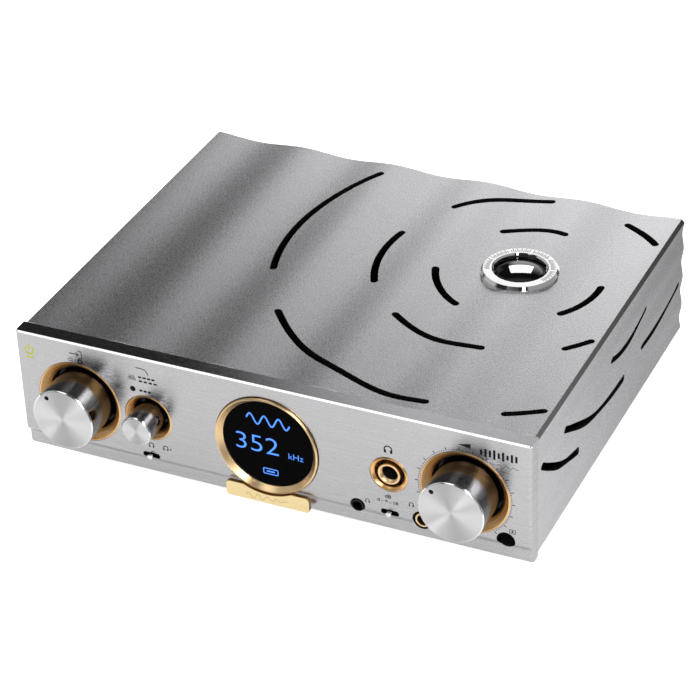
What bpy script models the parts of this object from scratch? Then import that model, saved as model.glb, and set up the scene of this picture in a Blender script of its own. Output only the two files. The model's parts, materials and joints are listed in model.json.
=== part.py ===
"""Desktop headphone amplifier with a rippled, slotted sleeve, a thick front panel and turned knobs.

Metres, +Z up. The front faces -Y and +X is to the right of someone facing it. The origin lies on the
ground under the middle of the overall box. Most places are given as (x, depth, height): depth runs back
from the front panel's main face, and height up from the underside of the case.
"""

from math import ceil, cos, pi, radians, sin

import bmesh
import bpy
from mathutils import Euler, Matrix, Vector

for leftover in list(bpy.data.objects):
    bpy.data.objects.remove(leftover)

# ---------------------------------------------------------------- driving dimensions
GAP = 0.0003  # clearance between neighbouring pieces
RUNNING_GAP = 0.00008  # radial clearance of a shaft in its bush

CASE_WIDTH = 0.213
CASE_HEIGHT = 0.0536
CASE_DEPTH = 0.1725
FOOT_HEIGHT = 0.0097
KNOB_REACH = 0.0136  # big knobs' faces stand this far in front of the panel
REAR_REACH = 0.0110  # the longest rear socket

FRONT_Y = KNOB_REACH - (KNOB_REACH + CASE_DEPTH + REAR_REACH) / 2
HALF_WIDTH = CASE_WIDTH / 2
MID_HEIGHT = CASE_HEIGHT / 2

PANEL_DEPTH = 0.0069
REAR_PLATE = 0.0020
SLEEVE_START = PANEL_DEPTH + GAP
SLEEVE_END = CASE_DEPTH - REAR_PLATE - GAP
SLEEVE_RISE = 0.0005  # the sleeve's underside sits above the panel's lower edge
WALL_SIDE = 0.0035
WALL_TOP = 0.0042
WALL_BOTTOM = 0.0030
EDGE_CHAMFER = 0.0012

TOP_WAVES = 5
TOP_WAVE_DROP = 0.0014
SIDE_WAVES = 4
SIDE_WAVE_DROP = 0.0008

SLOT_WIDTH = 0.0031
WINDOW_X = 0.05865
WINDOW_DEPTH = 0.1112
WINDOW_RADIUS = 0.0156
WINDOW_BORE = 0.0108
WINDOW_HOLE = 0.0135  # the sleeve's hole, which the window ring's barrel drops into

INPUT_X = -0.0805
FILTER_X = -0.0505
VOLUME_X = 0.0804
DISPLAY_X = 0.0
PHONE_X = 0.0501
MINI_X = 0.0369
BALANCED_X = 0.0633
REMOTE_X = 0.0965
KNOB_HEIGHT = MID_HEIGHT
LOW_ROW_HEIGHT = 0.0093

BIG_KNOB_RADIUS = 0.0130
BIG_RING_RADIUS = 0.0176
SMALL_KNOB_RADIUS = 0.0062
SMALL_RING_RADIUS = 0.0098
SMALL_KNOB_REACH = 0.0102
SHAFT_RADIUS = 0.0030
DISPLAY_RADIUS = 0.0214
BOARD_THICKNESS = 0.0016

# ---------------------------------------------------------------- collections and finishes
PARTS = bpy.data.collections.new("headphone_amplifier")
HELPERS = bpy.data.collections.new("cutters")
bpy.context.scene.collection.children.link(PARTS)
bpy.context.scene.collection.children.link(HELPERS)


def finish(name, colour, roughness, metallic):
    surface = bpy.data.materials.new(name)
    surface.use_nodes = True
    shader = surface.node_tree.nodes["Principled BSDF"]
    shader.inputs["Base Color"].default_value = (*colour, 1.0)
    shader.inputs["Roughness"].default_value = roughness
    shader.inputs["Metallic"].default_value = metallic
    surface.diffuse_color = (*colour, 1.0)
    return surface


BLASTED = finish("blasted_aluminium", (0.42, 0.42, 0.44), 0.42, 1.0)
BRUSHED = finish("brushed_aluminium", (0.66, 0.66, 0.66), 0.30, 1.0)
CHROME = finish("dark_chrome", (0.60, 0.60, 0.61), 0.08, 1.0)
GOLD = finish("satin_gold", (0.83, 0.58, 0.28), 0.28, 1.0)
STEEL = finish("steel", (0.55, 0.55, 0.55), 0.30, 1.0)
BRASS = finish("brass", (0.72, 0.55, 0.25), 0.30, 1.0)
BLACK = finish("black_plastic", (0.012, 0.012, 0.012), 0.25, 0.0)
GLASS = finish("dark_glass", (0.010, 0.010, 0.012), 0.05, 0.0)
TUBE_GLASS = finish("tube_glass", (0.55, 0.58, 0.60), 0.05, 0.0)
RUBBER = finish("rubber", (0.02, 0.02, 0.02), 0.80, 0.0)
BOARD = finish("circuit_board", (0.01, 0.05, 0.03), 0.45, 0.0)
NYLON = finish("white_nylon", (0.75, 0.74, 0.70), 0.50, 0.0)


# ---------------------------------------------------------------- modelling functions
def at(x, depth, height):
    """World place of a point given by its depth behind the front face and its height on the case."""
    return Vector((x, FRONT_Y + depth, FOOT_HEIGHT + height))


def add(name, mesh, surface, place, turn=(0, 0, 0), helper=False):
    """Put a mesh in the scene as a part, or as a wire-drawn helper that is only used by Booleans."""
    thing = bpy.data.objects.new(name, mesh)
    thing.location = place
    thing.rotation_euler = Euler(turn)
    mesh.materials.append(surface)
    (HELPERS if helper else PARTS).objects.link(thing)
    if helper:
        thing.hide_render = True
        thing.display_type = "WIRE"
    return thing


def smooth(thing, angle=35):
    thing.data.shade_smooth()
    thing.data.set_sharp_from_angle(angle=radians(angle))
    return thing


def box(name, low, high, surface, helper=False, bevel=0.0):
    """A block between two (x, depth, height) corners, with its edges eased by bevel."""
    size = Vector(high) - Vector(low)
    mesh = bpy.data.meshes.new(name)
    shape = bmesh.new()
    bmesh.ops.create_cube(shape, size=1.0, matrix=Matrix.Diagonal((*size, 1.0)))
    shape.to_mesh(mesh)
    shape.free()
    thing = add(name, mesh, surface, at(*((Vector(low) + Vector(high)) / 2)), helper=helper)
    if bevel:
        rounding = thing.modifiers.new("eased_edges", "BEVEL")
        rounding.width = bevel
        rounding.segments = 1
    return thing


def block(name, x, height, half, depths, surface, helper=False, bevel=0.0):
    """A box centred on (x, height), with half sizes (across, up), between two depths."""
    low = (x - half[0], depths[0], height - half[1])
    high = (x + half[0], depths[1], height + half[1])
    return box(name, low, high, surface, helper, bevel)


def turned(name, outline, surface, place, steps=24, turn=(-pi / 2, 0, 0), helper=False):
    """Revolve (radius, along) points. Unturned, along is +Z; the usual turn makes it the depth.

    An outline that starts and ends on the axis makes a solid; any other is closed and makes a ring.
    """
    solid = outline[0][0] == 0 and outline[-1][0] == 0
    area = sum(a[0] * b[1] - b[0] * a[1] for a, b in zip(outline, outline[1:] + outline[:1]))
    points = outline if area < 0 else outline[::-1]
    edges = [(i, i + 1) for i in range(len(points) - 1)]
    if not solid:
        edges.append((len(points) - 1, 0))
    mesh = bpy.data.meshes.new(name)
    mesh.from_pydata([(radius, 0, along) for radius, along in points], edges, [])
    thing = add(name, mesh, surface, place, turn, helper)
    lathe = thing.modifiers.new("lathe", "SCREW")
    lathe.steps = steps
    lathe.render_steps = steps
    lathe.use_merge_vertices = True
    lathe.merge_threshold = 0.00001
    lathe.use_smooth_shade = True
    return thing


def rod(name, radius, start, end, surface, place, steps=16, turn=(-pi / 2, 0, 0), helper=False):
    outline = [(0, start), (radius, start), (radius, end), (0, end)]
    return turned(name, outline, surface, place, steps, turn, helper)


def slab(name, outlines, thickness, surface, place, turn=(0, 0, 0), helper=False):
    """A flat piece: the first closed outline less the others, centred on its own thickness."""
    sheet = bpy.data.curves.new(name, "CURVE")
    sheet.dimensions = "2D"
    sheet.fill_mode = "BOTH"
    sheet.extrude = thickness / 2
    for outline in outlines:
        line = sheet.splines.new("POLY")
        line.points.add(len(outline) - 1)
        for point, (across, up) in zip(line.points, outline):
            point.co = (across, up, 0, 1)
        line.use_cyclic_u = True
    guide = bpy.data.objects.new(name + "_outline", sheet)
    HELPERS.objects.link(guide)
    bpy.context.view_layer.update()
    graph = bpy.context.evaluated_depsgraph_get()
    mesh = bpy.data.meshes.new_from_object(guide.evaluated_get(graph))
    bpy.data.objects.remove(guide)
    shape = bmesh.new()
    shape.from_mesh(mesh)
    bmesh.ops.remove_doubles(shape, verts=shape.verts, dist=0.000001)
    bmesh.ops.recalc_face_normals(shape, faces=shape.faces)
    shape.to_mesh(mesh)
    shape.free()
    mesh.materials.clear()
    return add(name, mesh, surface, place, turn, helper)


def combine(thing, operation, others):
    for other in others:
        step = thing.modifiers.new(other.name, "BOOLEAN")
        step.operation = operation
        step.solver = "EXACT"
        step.object = other


def cut(thing, *cutters):
    combine(thing, "DIFFERENCE", cutters)


def join(thing, *others):
    combine(thing, "UNION", others)


def circle(radius, count, centre=(0, 0)):
    return [
        (centre[0] + radius * cos(2 * pi * i / count), centre[1] + radius * sin(2 * pi * i / count))
        for i in range(count)
    ]


def round_bar(length, width, cap_steps=4):
    """Outline of a bar with half-round ends, lying along the first axis."""
    radius = width / 2
    reach = length / 2 - radius
    right = [(reach + radius * cos(a), radius * sin(a)) for a in cap_angles(-90, 90, cap_steps)]
    left = [(-reach + radius * cos(a), radius * sin(a)) for a in cap_angles(90, 270, cap_steps)]
    return right + left


def cap_angles(first, last, steps):
    return [radians(first + (last - first) * i / steps) for i in range(steps + 1)]


def arc_slot(radius, first, last, width, centre=(0, 0), piece=0.0065, cap_steps=3):
    """Outline of a curved slot with half-round ends that reach the two angles, in degrees."""
    half = width / 2
    start = radians(first) + half / radius
    end = radians(last) - half / radius
    steps = max(2, ceil((end - start) * radius / piece))
    sweep = [start + (end - start) * i / steps for i in range(steps + 1)]
    outer = [((radius + half) * cos(a), (radius + half) * sin(a)) for a in sweep]
    inner = [((radius - half) * cos(a), (radius - half) * sin(a)) for a in reversed(sweep)]
    points = outer + slot_end(radius, end, half, 0, cap_steps)
    points += inner + slot_end(radius, start, half, pi, cap_steps)
    return [(centre[0] + x, centre[1] + y) for x, y in points]


def slot_end(radius, angle, half, first, steps):
    turns = [angle + first + pi * i / steps for i in range(1, steps)]
    middle = (radius * cos(angle), radius * sin(angle))
    return [(middle[0] + half * cos(t), middle[1] + half * sin(t)) for t in turns]


# ---------------------------------------------------------------- case sleeve
def ripple(distance, length, drop):
    return drop / 2 * (1 - cos(2 * pi * distance / length))


def sleeve_outer(top_steps=6, side_steps=4):
    """Section of the sleeve: waves across the top and down both sides, over a plain underside."""
    top_length = CASE_WIDTH / TOP_WAVES
    side_length = CASE_HEIGHT / SIDE_WAVES
    top = []
    for i in range(TOP_WAVES * top_steps + 1):
        x = -HALF_WIDTH + EDGE_CHAMFER + (CASE_WIDTH - 2 * EDGE_CHAMFER) * i / (TOP_WAVES * top_steps)
        top.append((x, CASE_HEIGHT - ripple(x + HALF_WIDTH, top_length, TOP_WAVE_DROP)))
    right = []
    low = SLEEVE_RISE + EDGE_CHAMFER
    high = CASE_HEIGHT - EDGE_CHAMFER
    for i in range(SIDE_WAVES * side_steps + 1):
        height = high - (high - low) * i / (SIDE_WAVES * side_steps)
        right.append((HALF_WIDTH - ripple(CASE_HEIGHT - height, side_length, SIDE_WAVE_DROP), height))
    foot = right[-1][0] - EDGE_CHAMFER
    under = [(foot, SLEEVE_RISE), (-foot, SLEEVE_RISE)]
    left = [(-x, height) for x, height in reversed(right)]
    return top + right + under + left


SLOT_CUT = 0.0070  # thickness of a slot's cutter, more than a wall's
OVERRUN = 0.0020  # how far a cutter passes the surface it opens
SCREW_RADIUS = 0.0015
SCREW_LENGTH = 0.0080  # how far a rear screw reaches into the sleeve
SCREW_BOSS = 0.006
INNER_X = HALF_WIDTH - WALL_SIDE
INNER_LOW = SLEEVE_RISE + WALL_BOTTOM
INNER_HIGH = CASE_HEIGHT - WALL_TOP
REAR_SCREW_X = INNER_X - SCREW_BOSS / 2
REAR_SCREW_HEIGHTS = (INNER_LOW + SCREW_BOSS / 2, INNER_HIGH - SCREW_BOSS / 2)


def sleeve_inner():
    """The bore: a rectangle whose corners are left solid to take the rear screws."""
    x, low, high = INNER_X, INNER_LOW, INNER_HIGH
    boss = SCREW_BOSS
    half = [(x - boss, low), (x - boss, low + boss), (x, low + boss)]
    half += [(x, high - boss), (x - boss, high - boss), (x - boss, high)]
    return half + [(-a, b) for a, b in reversed(half)]


# rings of top slots: (radius, ((first angle, last angle), ...)), in degrees round the window
TOP_SLOTS = (
    (0.0334, ((-165.0, -114.5), (76.0, 125.5), (-43.5, 4.5))),
    (0.0576, ((166.0, 208.5), (96.5, 140.5), (-126.5, -82.0), (-53.0, -39.5), (40.5, 63.5))),
    (0.0981, ((147.0, 199.8), (-142.0, -88.5), (-72.8, -62.8))),
)
# right-side slots: (centre depth, centre height, radius, first angle, last angle)
SIDE_SLOTS = (
    (0.0733, 0.1159, 0.0996, -129.3, -102.5),
    (0.1009, 0.1460, 0.1259, -122.2, -89.0),
    (0.1055, 0.0797, 0.0459, -116.5, -63.0),
    (0.1360, 0.1180, 0.0972, -98.0, -71.0),
)


def case_sleeve():
    length = SLEEVE_END - SLEEVE_START
    middle = (SLEEVE_END + SLEEVE_START) / 2
    outlines = [sleeve_outer(), sleeve_inner()]
    sleeve = slab("case_sleeve", outlines, length, BLASTED, at(0, middle, 0), (pi / 2, 0, 0))
    window = at(WINDOW_X, WINDOW_DEPTH, CASE_HEIGHT)
    cutters = []
    for radius, spans in TOP_SLOTS:
        for first, last in spans:
            name = f"top_slot_cutter_{len(cutters)}"
            outline = arc_slot(radius, first, last, SLOT_WIDTH)
            place = window - Vector((0, 0, WALL_TOP / 2))
            cutters.append(slab(name, [outline], SLOT_CUT, BLACK, place, helper=True))
    for depth, height, radius, first, last in SIDE_SLOTS:
        name = f"side_slot_cutter_{len(cutters)}"
        outline = arc_slot(radius, first, last, SLOT_WIDTH, (depth, height), piece=0.008)
        place = at(HALF_WIDTH - WALL_SIDE / 2, 0, 0)
        cutters.append(slab(name, [outline], SLOT_CUT, BLACK, place, (pi / 2, 0, pi / 2), helper=True))
    span = (-WALL_TOP - OVERRUN, OVERRUN)
    cutters.append(rod("window_cutter", WINDOW_HOLE, *span, BLACK, window, 28, (0, 0, 0), helper=True))
    for index, (x, height) in enumerate(rear_screw_places()):
        name = f"screw_hole_cutter_{index}"
        place = at(x, 0, height)
        span = (SLEEVE_END - SCREW_LENGTH - OVERRUN, SLEEVE_END + OVERRUN)
        cutters.append(rod(name, SCREW_RADIUS + GAP, *span, BLACK, place, 10, helper=True))
    cut(sleeve, *cutters)
    return smooth(sleeve, 30)


def rear_screw_places():
    return [(x, h) for x in (-REAR_SCREW_X, REAR_SCREW_X) for h in REAR_SCREW_HEIGHTS]


# ---------------------------------------------------------------- top window
WINDOW_PROUD = 0.0015  # how far the ring's flat top stands above the case
WINDOW_BARREL_END = -0.0060
LENS_SEAT = -0.0024


def top_window():
    """A chrome ring in the sleeve's hole, with a domed dark lens resting in its rebate."""
    top = at(WINDOW_X, WINDOW_DEPTH, CASE_HEIGHT)
    barrel = WINDOW_HOLE - GAP
    seat = WINDOW_BORE - 0.0010
    ring = [
        (WINDOW_BORE, WINDOW_PROUD), (WINDOW_RADIUS - 0.0004, WINDOW_PROUD),
        (WINDOW_RADIUS, WINDOW_PROUD - 0.0004), (WINDOW_RADIUS, GAP), (barrel, GAP),
        (barrel, WINDOW_BARREL_END), (seat, WINDOW_BARREL_END), (seat, LENS_SEAT), (WINDOW_BORE, LENS_SEAT),
    ]
    turned("window_ring", ring, CHROME, top, 36, (0, 0, 0))
    edge = WINDOW_BORE - GAP
    floor = LENS_SEAT + GAP
    dome = [(0, 0.0013), (0.0050, 0.0006), (edge, -0.0012), (edge, floor), (0, floor)]
    turned("window_lens", dome, GLASS, top, 28, (0, 0, 0))


# ---------------------------------------------------------------- front panel
LIP_TOP = 0.0090  # the main face ends here and steps back to the lower band
LIP_BOTTOM = 0.0052
LIP_SETBACK = 0.0020
TOP_CHAMFER = 0.0008
END_ROUND = 0.0010
STEP_POINTS = 4


def panel_profile():
    """(depth, height) outline: main face, soft step back near the foot, and a rounded lower edge."""
    step = []
    for i in range(STEP_POINTS + 1):
        share = i / STEP_POINTS
        depth = LIP_SETBACK * (1 - cos(pi * share)) / 2
        step.append((depth, LIP_TOP + (LIP_BOTTOM - LIP_TOP) * share))
    front = [(TOP_CHAMFER, CASE_HEIGHT), (0, CASE_HEIGHT - TOP_CHAMFER)] + step
    foot = [(LIP_SETBACK, END_ROUND), (LIP_SETBACK + END_ROUND, 0)]
    back = [(PANEL_DEPTH, 0), (PANEL_DEPTH, CASE_HEIGHT)]
    return front + foot + back


def round_panel_ends(mesh):
    """Ease the two upright edges at the ends of the panel's front."""
    shape = bmesh.new()
    shape.from_mesh(mesh)
    ends = []
    for edge in shape.edges:
        outside = all(abs(abs(v.co.z) - HALF_WIDTH) < 0.00001 for v in edge.verts)
        forward = all(v.co.x < LIP_SETBACK + END_ROUND / 2 for v in edge.verts)
        if outside and forward and len({round(abs(f.normal.z), 2) for f in edge.link_faces}) > 1:
            ends.append(edge)
    bmesh.ops.bevel(shape, geom=ends, offset=END_ROUND, segments=2, profile=0.5, affect="EDGES")
    shape.to_mesh(mesh)
    shape.free()


SWITCH_SLOT = (0.0074, 0.0025)
SWITCH_WEB = 0.0020  # panel thickness left in front of a slide switch
SWITCH_POCKET = (0.0070, 0.0034)  # half sizes of the pocket behind it
PHONE_SEAT = 0.0034  # depth of the recess for the phone socket's trim ring
PHONE_BUSH_HOLE = 0.0050


def front_panel():
    place = at(0, 0, 0)
    panel = slab("front_panel", [panel_profile()], CASE_WIDTH, BRUSHED, place, (pi / 2, 0, pi / 2))
    round_panel_ends(panel.data)
    through = (-OVERRUN, PANEL_DEPTH + OVERRUN)
    holes = [
        ("input", INPUT_X, KNOB_HEIGHT, BIG_RING_RADIUS + GAP, through, 36),
        ("filter", FILTER_X, KNOB_HEIGHT, SMALL_RING_RADIUS + GAP, through, 28),
        ("volume", VOLUME_X, KNOB_HEIGHT, BIG_RING_RADIUS + GAP, through, 36),
        ("display", DISPLAY_X, KNOB_HEIGHT, DISPLAY_RADIUS + GAP, through, 40),
        ("phone_trim", PHONE_X, KNOB_HEIGHT, PHONE_TRIM_RADIUS + GAP, (-OVERRUN, PHONE_SEAT), 28),
        ("phone_bush", PHONE_X, KNOB_HEIGHT, PHONE_BUSH_HOLE, through, 20),
        ("mini", MINI_X, LOW_ROW_HEIGHT, MINI_RADIUS + GAP, through, 20),
        ("balanced", BALANCED_X, LOW_ROW_HEIGHT, BALANCED_RADIUS + GAP, through, 20),
        ("remote", REMOTE_X, LOW_ROW_HEIGHT, REMOTE_RADIUS + GAP, through, 20),
    ]
    cutters = []
    for name, x, height, radius, span, steps in holes:
        place = at(x, 0, height)
        cutters.append(rod(f"{name}_hole_cutter", radius, *span, BLACK, place, steps, helper=True))
    for name, x in (("mode", FILTER_X), ("gain", PHONE_X)):
        place = at(x, SWITCH_WEB, LOW_ROW_HEIGHT)
        outline = round_bar(*SWITCH_SLOT)
        turn = (pi / 2, 0, 0)
        thickness = 2 * (SWITCH_WEB + OVERRUN)
        cutters.append(slab(f"{name}_slot_cutter", [outline], thickness, BLACK, place, turn, helper=True))
        span = (SWITCH_WEB, PANEL_DEPTH + OVERRUN)
        pocket = f"{name}_pocket_cutter"
        cutters.append(block(pocket, x, LOW_ROW_HEIGHT, SWITCH_POCKET, span, BLACK, helper=True))
    cut(panel, *cutters)
    return smooth(panel, 30)


# ---------------------------------------------------------------- dials: knob, ring, encoder, shaft
CUP_FLOOR = 0.0054  # depth of the floor of a ring's cup, behind the knob
KNOB_BACK = 0.0024
KNOB_BORE_END = -0.0060
BUSH_RADIUS = 0.0040
ENCODER_BACK = 0.0152
SHAFT_END = 0.0130
SHOULDER = 0.0146  # floor of an encoder's bore, behind the push rod's disc
BUSH_ROOT = 0.0090  # a bush runs back to this depth, inside the body behind it
KNOB_CHAMFER = 0.0004
RING_RIM = 0.0002
RING_DISH = 0.0016
PUSH_STEM = 0.0015
PUSH_DISC = 0.0026
PUSH_DISC_THICKNESS = 0.0005


def trim_ring(name, x, radius, dish, steps):
    """A gold ring dished towards its knob, whose cup carries on to a floor with the bush's hole."""
    inner = radius - dish
    outline = [
        (radius, RING_RIM), (radius - 2 * RING_RIM, -RING_RIM), (inner, RING_DISH), (inner, CUP_FLOOR),
        (BUSH_RADIUS + GAP, CUP_FLOOR), (BUSH_RADIUS + GAP, PANEL_DEPTH), (radius, PANEL_DEPTH),
    ]
    return turned(name, outline, GOLD, at(x, 0, KNOB_HEIGHT), steps)


def knob(name, x, radius, reach, steps):
    """A plain cylinder with a bright chamfer round its face, bored from the back for its shaft."""
    rim = KNOB_CHAMFER
    bore = SHAFT_RADIUS + GAP
    outline = [
        (0, -reach), (radius - rim, -reach), (radius, rim - reach), (radius, KNOB_BACK - rim),
        (radius - rim, KNOB_BACK), (bore, KNOB_BACK), (bore, KNOB_BORE_END), (0, KNOB_BORE_END),
    ]
    return turned(name, outline, CHROME, at(x, 0, KNOB_HEIGHT), steps)


def shaft(name, x, end, steps=18):
    start = KNOB_BORE_END + GAP
    return rod(name, SHAFT_RADIUS, start, end, STEEL, at(x, 0, KNOB_HEIGHT), steps)


def bush(name, x):
    """The stub round a shaft that stands through the ring's floor, joined to the body behind it."""
    place = at(x, 0, KNOB_HEIGHT)
    return rod(name, BUSH_RADIUS, CUP_FLOOR - 0.0010, BUSH_ROOT, BLACK, place, 18, helper=True)


def encoder(name, x, half):
    """A turn-and-press encoder: square body, bush, running bore and a smaller hole for the push rod."""
    body = block(name, x, KNOB_HEIGHT, (half, half), (PANEL_DEPTH + GAP, ENCODER_BACK), BLACK)
    place = at(x, 0, KNOB_HEIGHT)
    join(body, bush(name + "_bush", x))
    bore = SHAFT_RADIUS + RUNNING_GAP
    stem_hole = PUSH_STEM + GAP
    stem_span = (SHOULDER - OVERRUN, ENCODER_BACK + OVERRUN)
    cut(
        body,
        rod(name + "_bore_cutter", bore, 0, SHOULDER, BLACK, place, 18, helper=True),
        rod(name + "_rod_cutter", stem_hole, *stem_span, BLACK, place, 12, helper=True),
    )


def push_rod(name, x):
    """Disc behind the shaft with a stem that works the press contact."""
    front = SHAFT_END + GAP
    step = front + PUSH_DISC_THICKNESS
    end = ENCODER_BACK - GAP
    outline = [(0, front), (PUSH_DISC, front), (PUSH_DISC, step)]
    outline += [(PUSH_STEM, step), (PUSH_STEM, end), (0, end)]
    return turned(name, outline, NYLON, at(x, 0, KNOB_HEIGHT), 12)


def centre_line(name, x):
    """An empty on a dial's axis, which its turning pieces are parented to."""
    axis = bpy.data.objects.new(name, None)
    axis.location = at(x, 0, KNOB_HEIGHT)
    axis.empty_display_size = 0.01
    PARTS.objects.link(axis)
    return axis


def mount_on(axis, *pieces):
    for piece in pieces:
        piece.parent = axis
        piece.location = piece.location - axis.location


def input_dial():
    trim_ring("input_trim_ring", INPUT_X, BIG_RING_RADIUS, 0.0023, 36)
    encoder("input_encoder", INPUT_X, 0.0070)
    push_rod("input_push_rod", INPUT_X)
    axis = centre_line("input_axis", INPUT_X)
    turning = knob("input_knob", INPUT_X, BIG_KNOB_RADIUS, KNOB_REACH, 32)
    mount_on(axis, turning, shaft("input_shaft", INPUT_X, SHAFT_END))


SET_SCREW_DEPTH = -0.0031
SET_SCREW_ANGLE = 18.6
SET_SCREW_RADIUS = 0.0015
SET_SCREW_SUNK = 0.0007  # its outer end lies this far inside the knob's side
HEX_KEY_RADIUS = 0.0008
HEX_KEY_THICKNESS = 0.0012


def filter_dial():
    """The small dial: its knob is held by a set screw that is reached from the side."""
    trim_ring("filter_trim_ring", FILTER_X, SMALL_RING_RADIUS, 0.0016, 28)
    encoder("filter_encoder", FILTER_X, 0.0060)
    push_rod("filter_push_rod", FILTER_X)
    axis = centre_line("filter_axis", FILTER_X)
    turning = knob("filter_knob", FILTER_X, SMALL_KNOB_RADIUS, SMALL_KNOB_REACH, 24)
    place = at(FILTER_X, SET_SCREW_DEPTH, KNOB_HEIGHT)
    turn = (0, radians(90 - SET_SCREW_ANGLE), 0)
    span = (SHAFT_RADIUS - OVERRUN / 2, SMALL_KNOB_RADIUS + OVERRUN)
    hole = rod("filter_screw_cutter", SET_SCREW_RADIUS + GAP, *span, BLACK, place, 12, turn, True)
    cut(turning, hole)
    start = SHAFT_RADIUS + GAP
    end = SMALL_KNOB_RADIUS - SET_SCREW_SUNK
    screw = rod("filter_set_screw", SET_SCREW_RADIUS, start, end, STEEL, place, 12, turn)
    hexagon = circle(HEX_KEY_RADIUS, 6)
    key = slab("filter_key_cutter", [hexagon], HEX_KEY_THICKNESS, BLACK, place, turn, helper=True)
    key.location = place + key.rotation_euler.to_matrix() @ Vector((0, 0, end))
    cut(screw, key)
    mount_on(axis, turning, shaft("filter_shaft", FILTER_X, SHAFT_END), screw)
    for cutter in (hole, key):
        mount_on(axis, cutter)


# ---------------------------------------------------------------- volume dial and its motor drive
GEAR_MODULE = 0.0005
GEAR_TEETH = 40
PINION_TEETH = 12
GEAR_DEPTHS = (0.0282, 0.0312)
POT_HALF = 0.0100
POT_BACK = 0.0250
DRIVE_PLATE = (0.0325, 0.0345)
MOTOR_RADIUS = 0.0080
MOTOR_BACK = 0.0560
MESH_CLEARANCE = 0.00005
MOTOR_DISTANCE = GEAR_MODULE * (GEAR_TEETH + PINION_TEETH) / 2 + MESH_CLEARANCE
MOTOR_NOSE_RADIUS = 0.0025
SPINDLE_RADIUS = 0.0010
SPINDLE_END = 0.0470
PLATE_HALF_HEIGHT = 0.0140
PILLAR_HALF_WIDTH = 0.0060
PILLAR_START = POT_BACK - 0.0060
PILLAR_HEIGHTS = (POT_HALF + 0.0010, POT_HALF + 0.0040)
PILLAR_FOOT_END = POT_BACK - 0.0030


def gear_outline(teeth, first):
    """Straight-sided teeth with backlash. One tooth is centred on the angle called first."""
    pitch = GEAR_MODULE * teeth / 2
    tip = pitch + 0.85 * GEAR_MODULE
    root = pitch - 1.15 * GEAR_MODULE
    step = 2 * pi / teeth
    points = []
    for i in range(teeth):
        middle = first + i * step
        for radius, share in ((root, -0.27), (tip, -0.11), (tip, 0.11), (root, 0.27)):
            points.append((radius * cos(middle + share * step), radius * sin(middle + share * step)))
    return points


def gear(name, teeth, bore, first, surface, place):
    """A spur gear facing forward; the angle is seen from the front."""
    middle = Vector((0, sum(GEAR_DEPTHS) / 2, 0))
    outlines = [gear_outline(teeth, first)]
    if bore:
        outlines.append(circle(bore, 16))
    width = GEAR_DEPTHS[1] - GEAR_DEPTHS[0]
    return slab(name, outlines, width, surface, place + middle, (pi / 2, 0, 0))


def volume_dial():
    """Knob and shaft drive the potentiometer; a gear behind it lets the motor turn them too."""
    trim_ring("volume_trim_ring", VOLUME_X, BIG_RING_RADIUS, 0.0023, 36)
    axis = centre_line("volume_axis", VOLUME_X)
    turning = knob("volume_knob", VOLUME_X, BIG_KNOB_RADIUS, KNOB_REACH, 32)
    spindle = shaft("volume_shaft", VOLUME_X, DRIVE_PLATE[1] - GAP)
    place = at(VOLUME_X, 0, KNOB_HEIGHT)
    wheel = gear("volume_drive_gear", GEAR_TEETH, SHAFT_RADIUS + GAP, pi, NYLON, place)
    mount_on(axis, turning, spindle, wheel)


def volume_potentiometer():
    """Stacked body with its bush, and two pillars that carry the plate of the motor drive."""
    x = VOLUME_X
    half = (POT_HALF, POT_HALF)
    body = block("volume_potentiometer", x, KNOB_HEIGHT, half, (PANEL_DEPTH + GAP, POT_BACK), BLACK)
    join(body, bush("potentiometer_bush", x))
    low, high = PILLAR_HEIGHTS
    for side, name in ((-1, "lower"), (1, "upper")):
        height = KNOB_HEIGHT + side * (low + high) / 2
        half = (PILLAR_HALF_WIDTH, (high - low) / 2)
        depths = (PILLAR_START, DRIVE_PLATE[0] + 0.0010)
        join(body, block(f"{name}_pillar", x, height, half, depths, BLACK, helper=True))
        foot_low = POT_HALF - 0.0010
        height = KNOB_HEIGHT + side * (foot_low + high) / 2
        half = (PILLAR_HALF_WIDTH, (high - foot_low) / 2)
        depths = (PILLAR_START, PILLAR_FOOT_END)
        join(body, block(f"{name}_pillar_foot", x, height, half, depths, BLACK, helper=True))
    left = x - MOTOR_DISTANCE - MOTOR_RADIUS
    plate_low = (left, DRIVE_PLATE[0], KNOB_HEIGHT - PLATE_HALF_HEIGHT)
    plate_high = (x + POT_HALF, DRIVE_PLATE[1], KNOB_HEIGHT + PLATE_HALF_HEIGHT)
    join(body, box("drive_plate", plate_low, plate_high, BLACK, helper=True))
    bore = SHAFT_RADIUS + RUNNING_GAP
    bore_span = (0, DRIVE_PLATE[1] + OVERRUN)
    nose_hole = MOTOR_NOSE_RADIUS + GAP
    nose_span = (DRIVE_PLATE[0] - OVERRUN, DRIVE_PLATE[1] + OVERRUN)
    motor_place = at(x - MOTOR_DISTANCE, 0, KNOB_HEIGHT)
    cut(
        body,
        rod("shaft_bore_cutter", bore, *bore_span, BLACK, at(x, 0, KNOB_HEIGHT), 18, helper=True),
        rod("motor_nose_cutter", nose_hole, *nose_span, BLACK, motor_place, 14, helper=True),
    )


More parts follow.
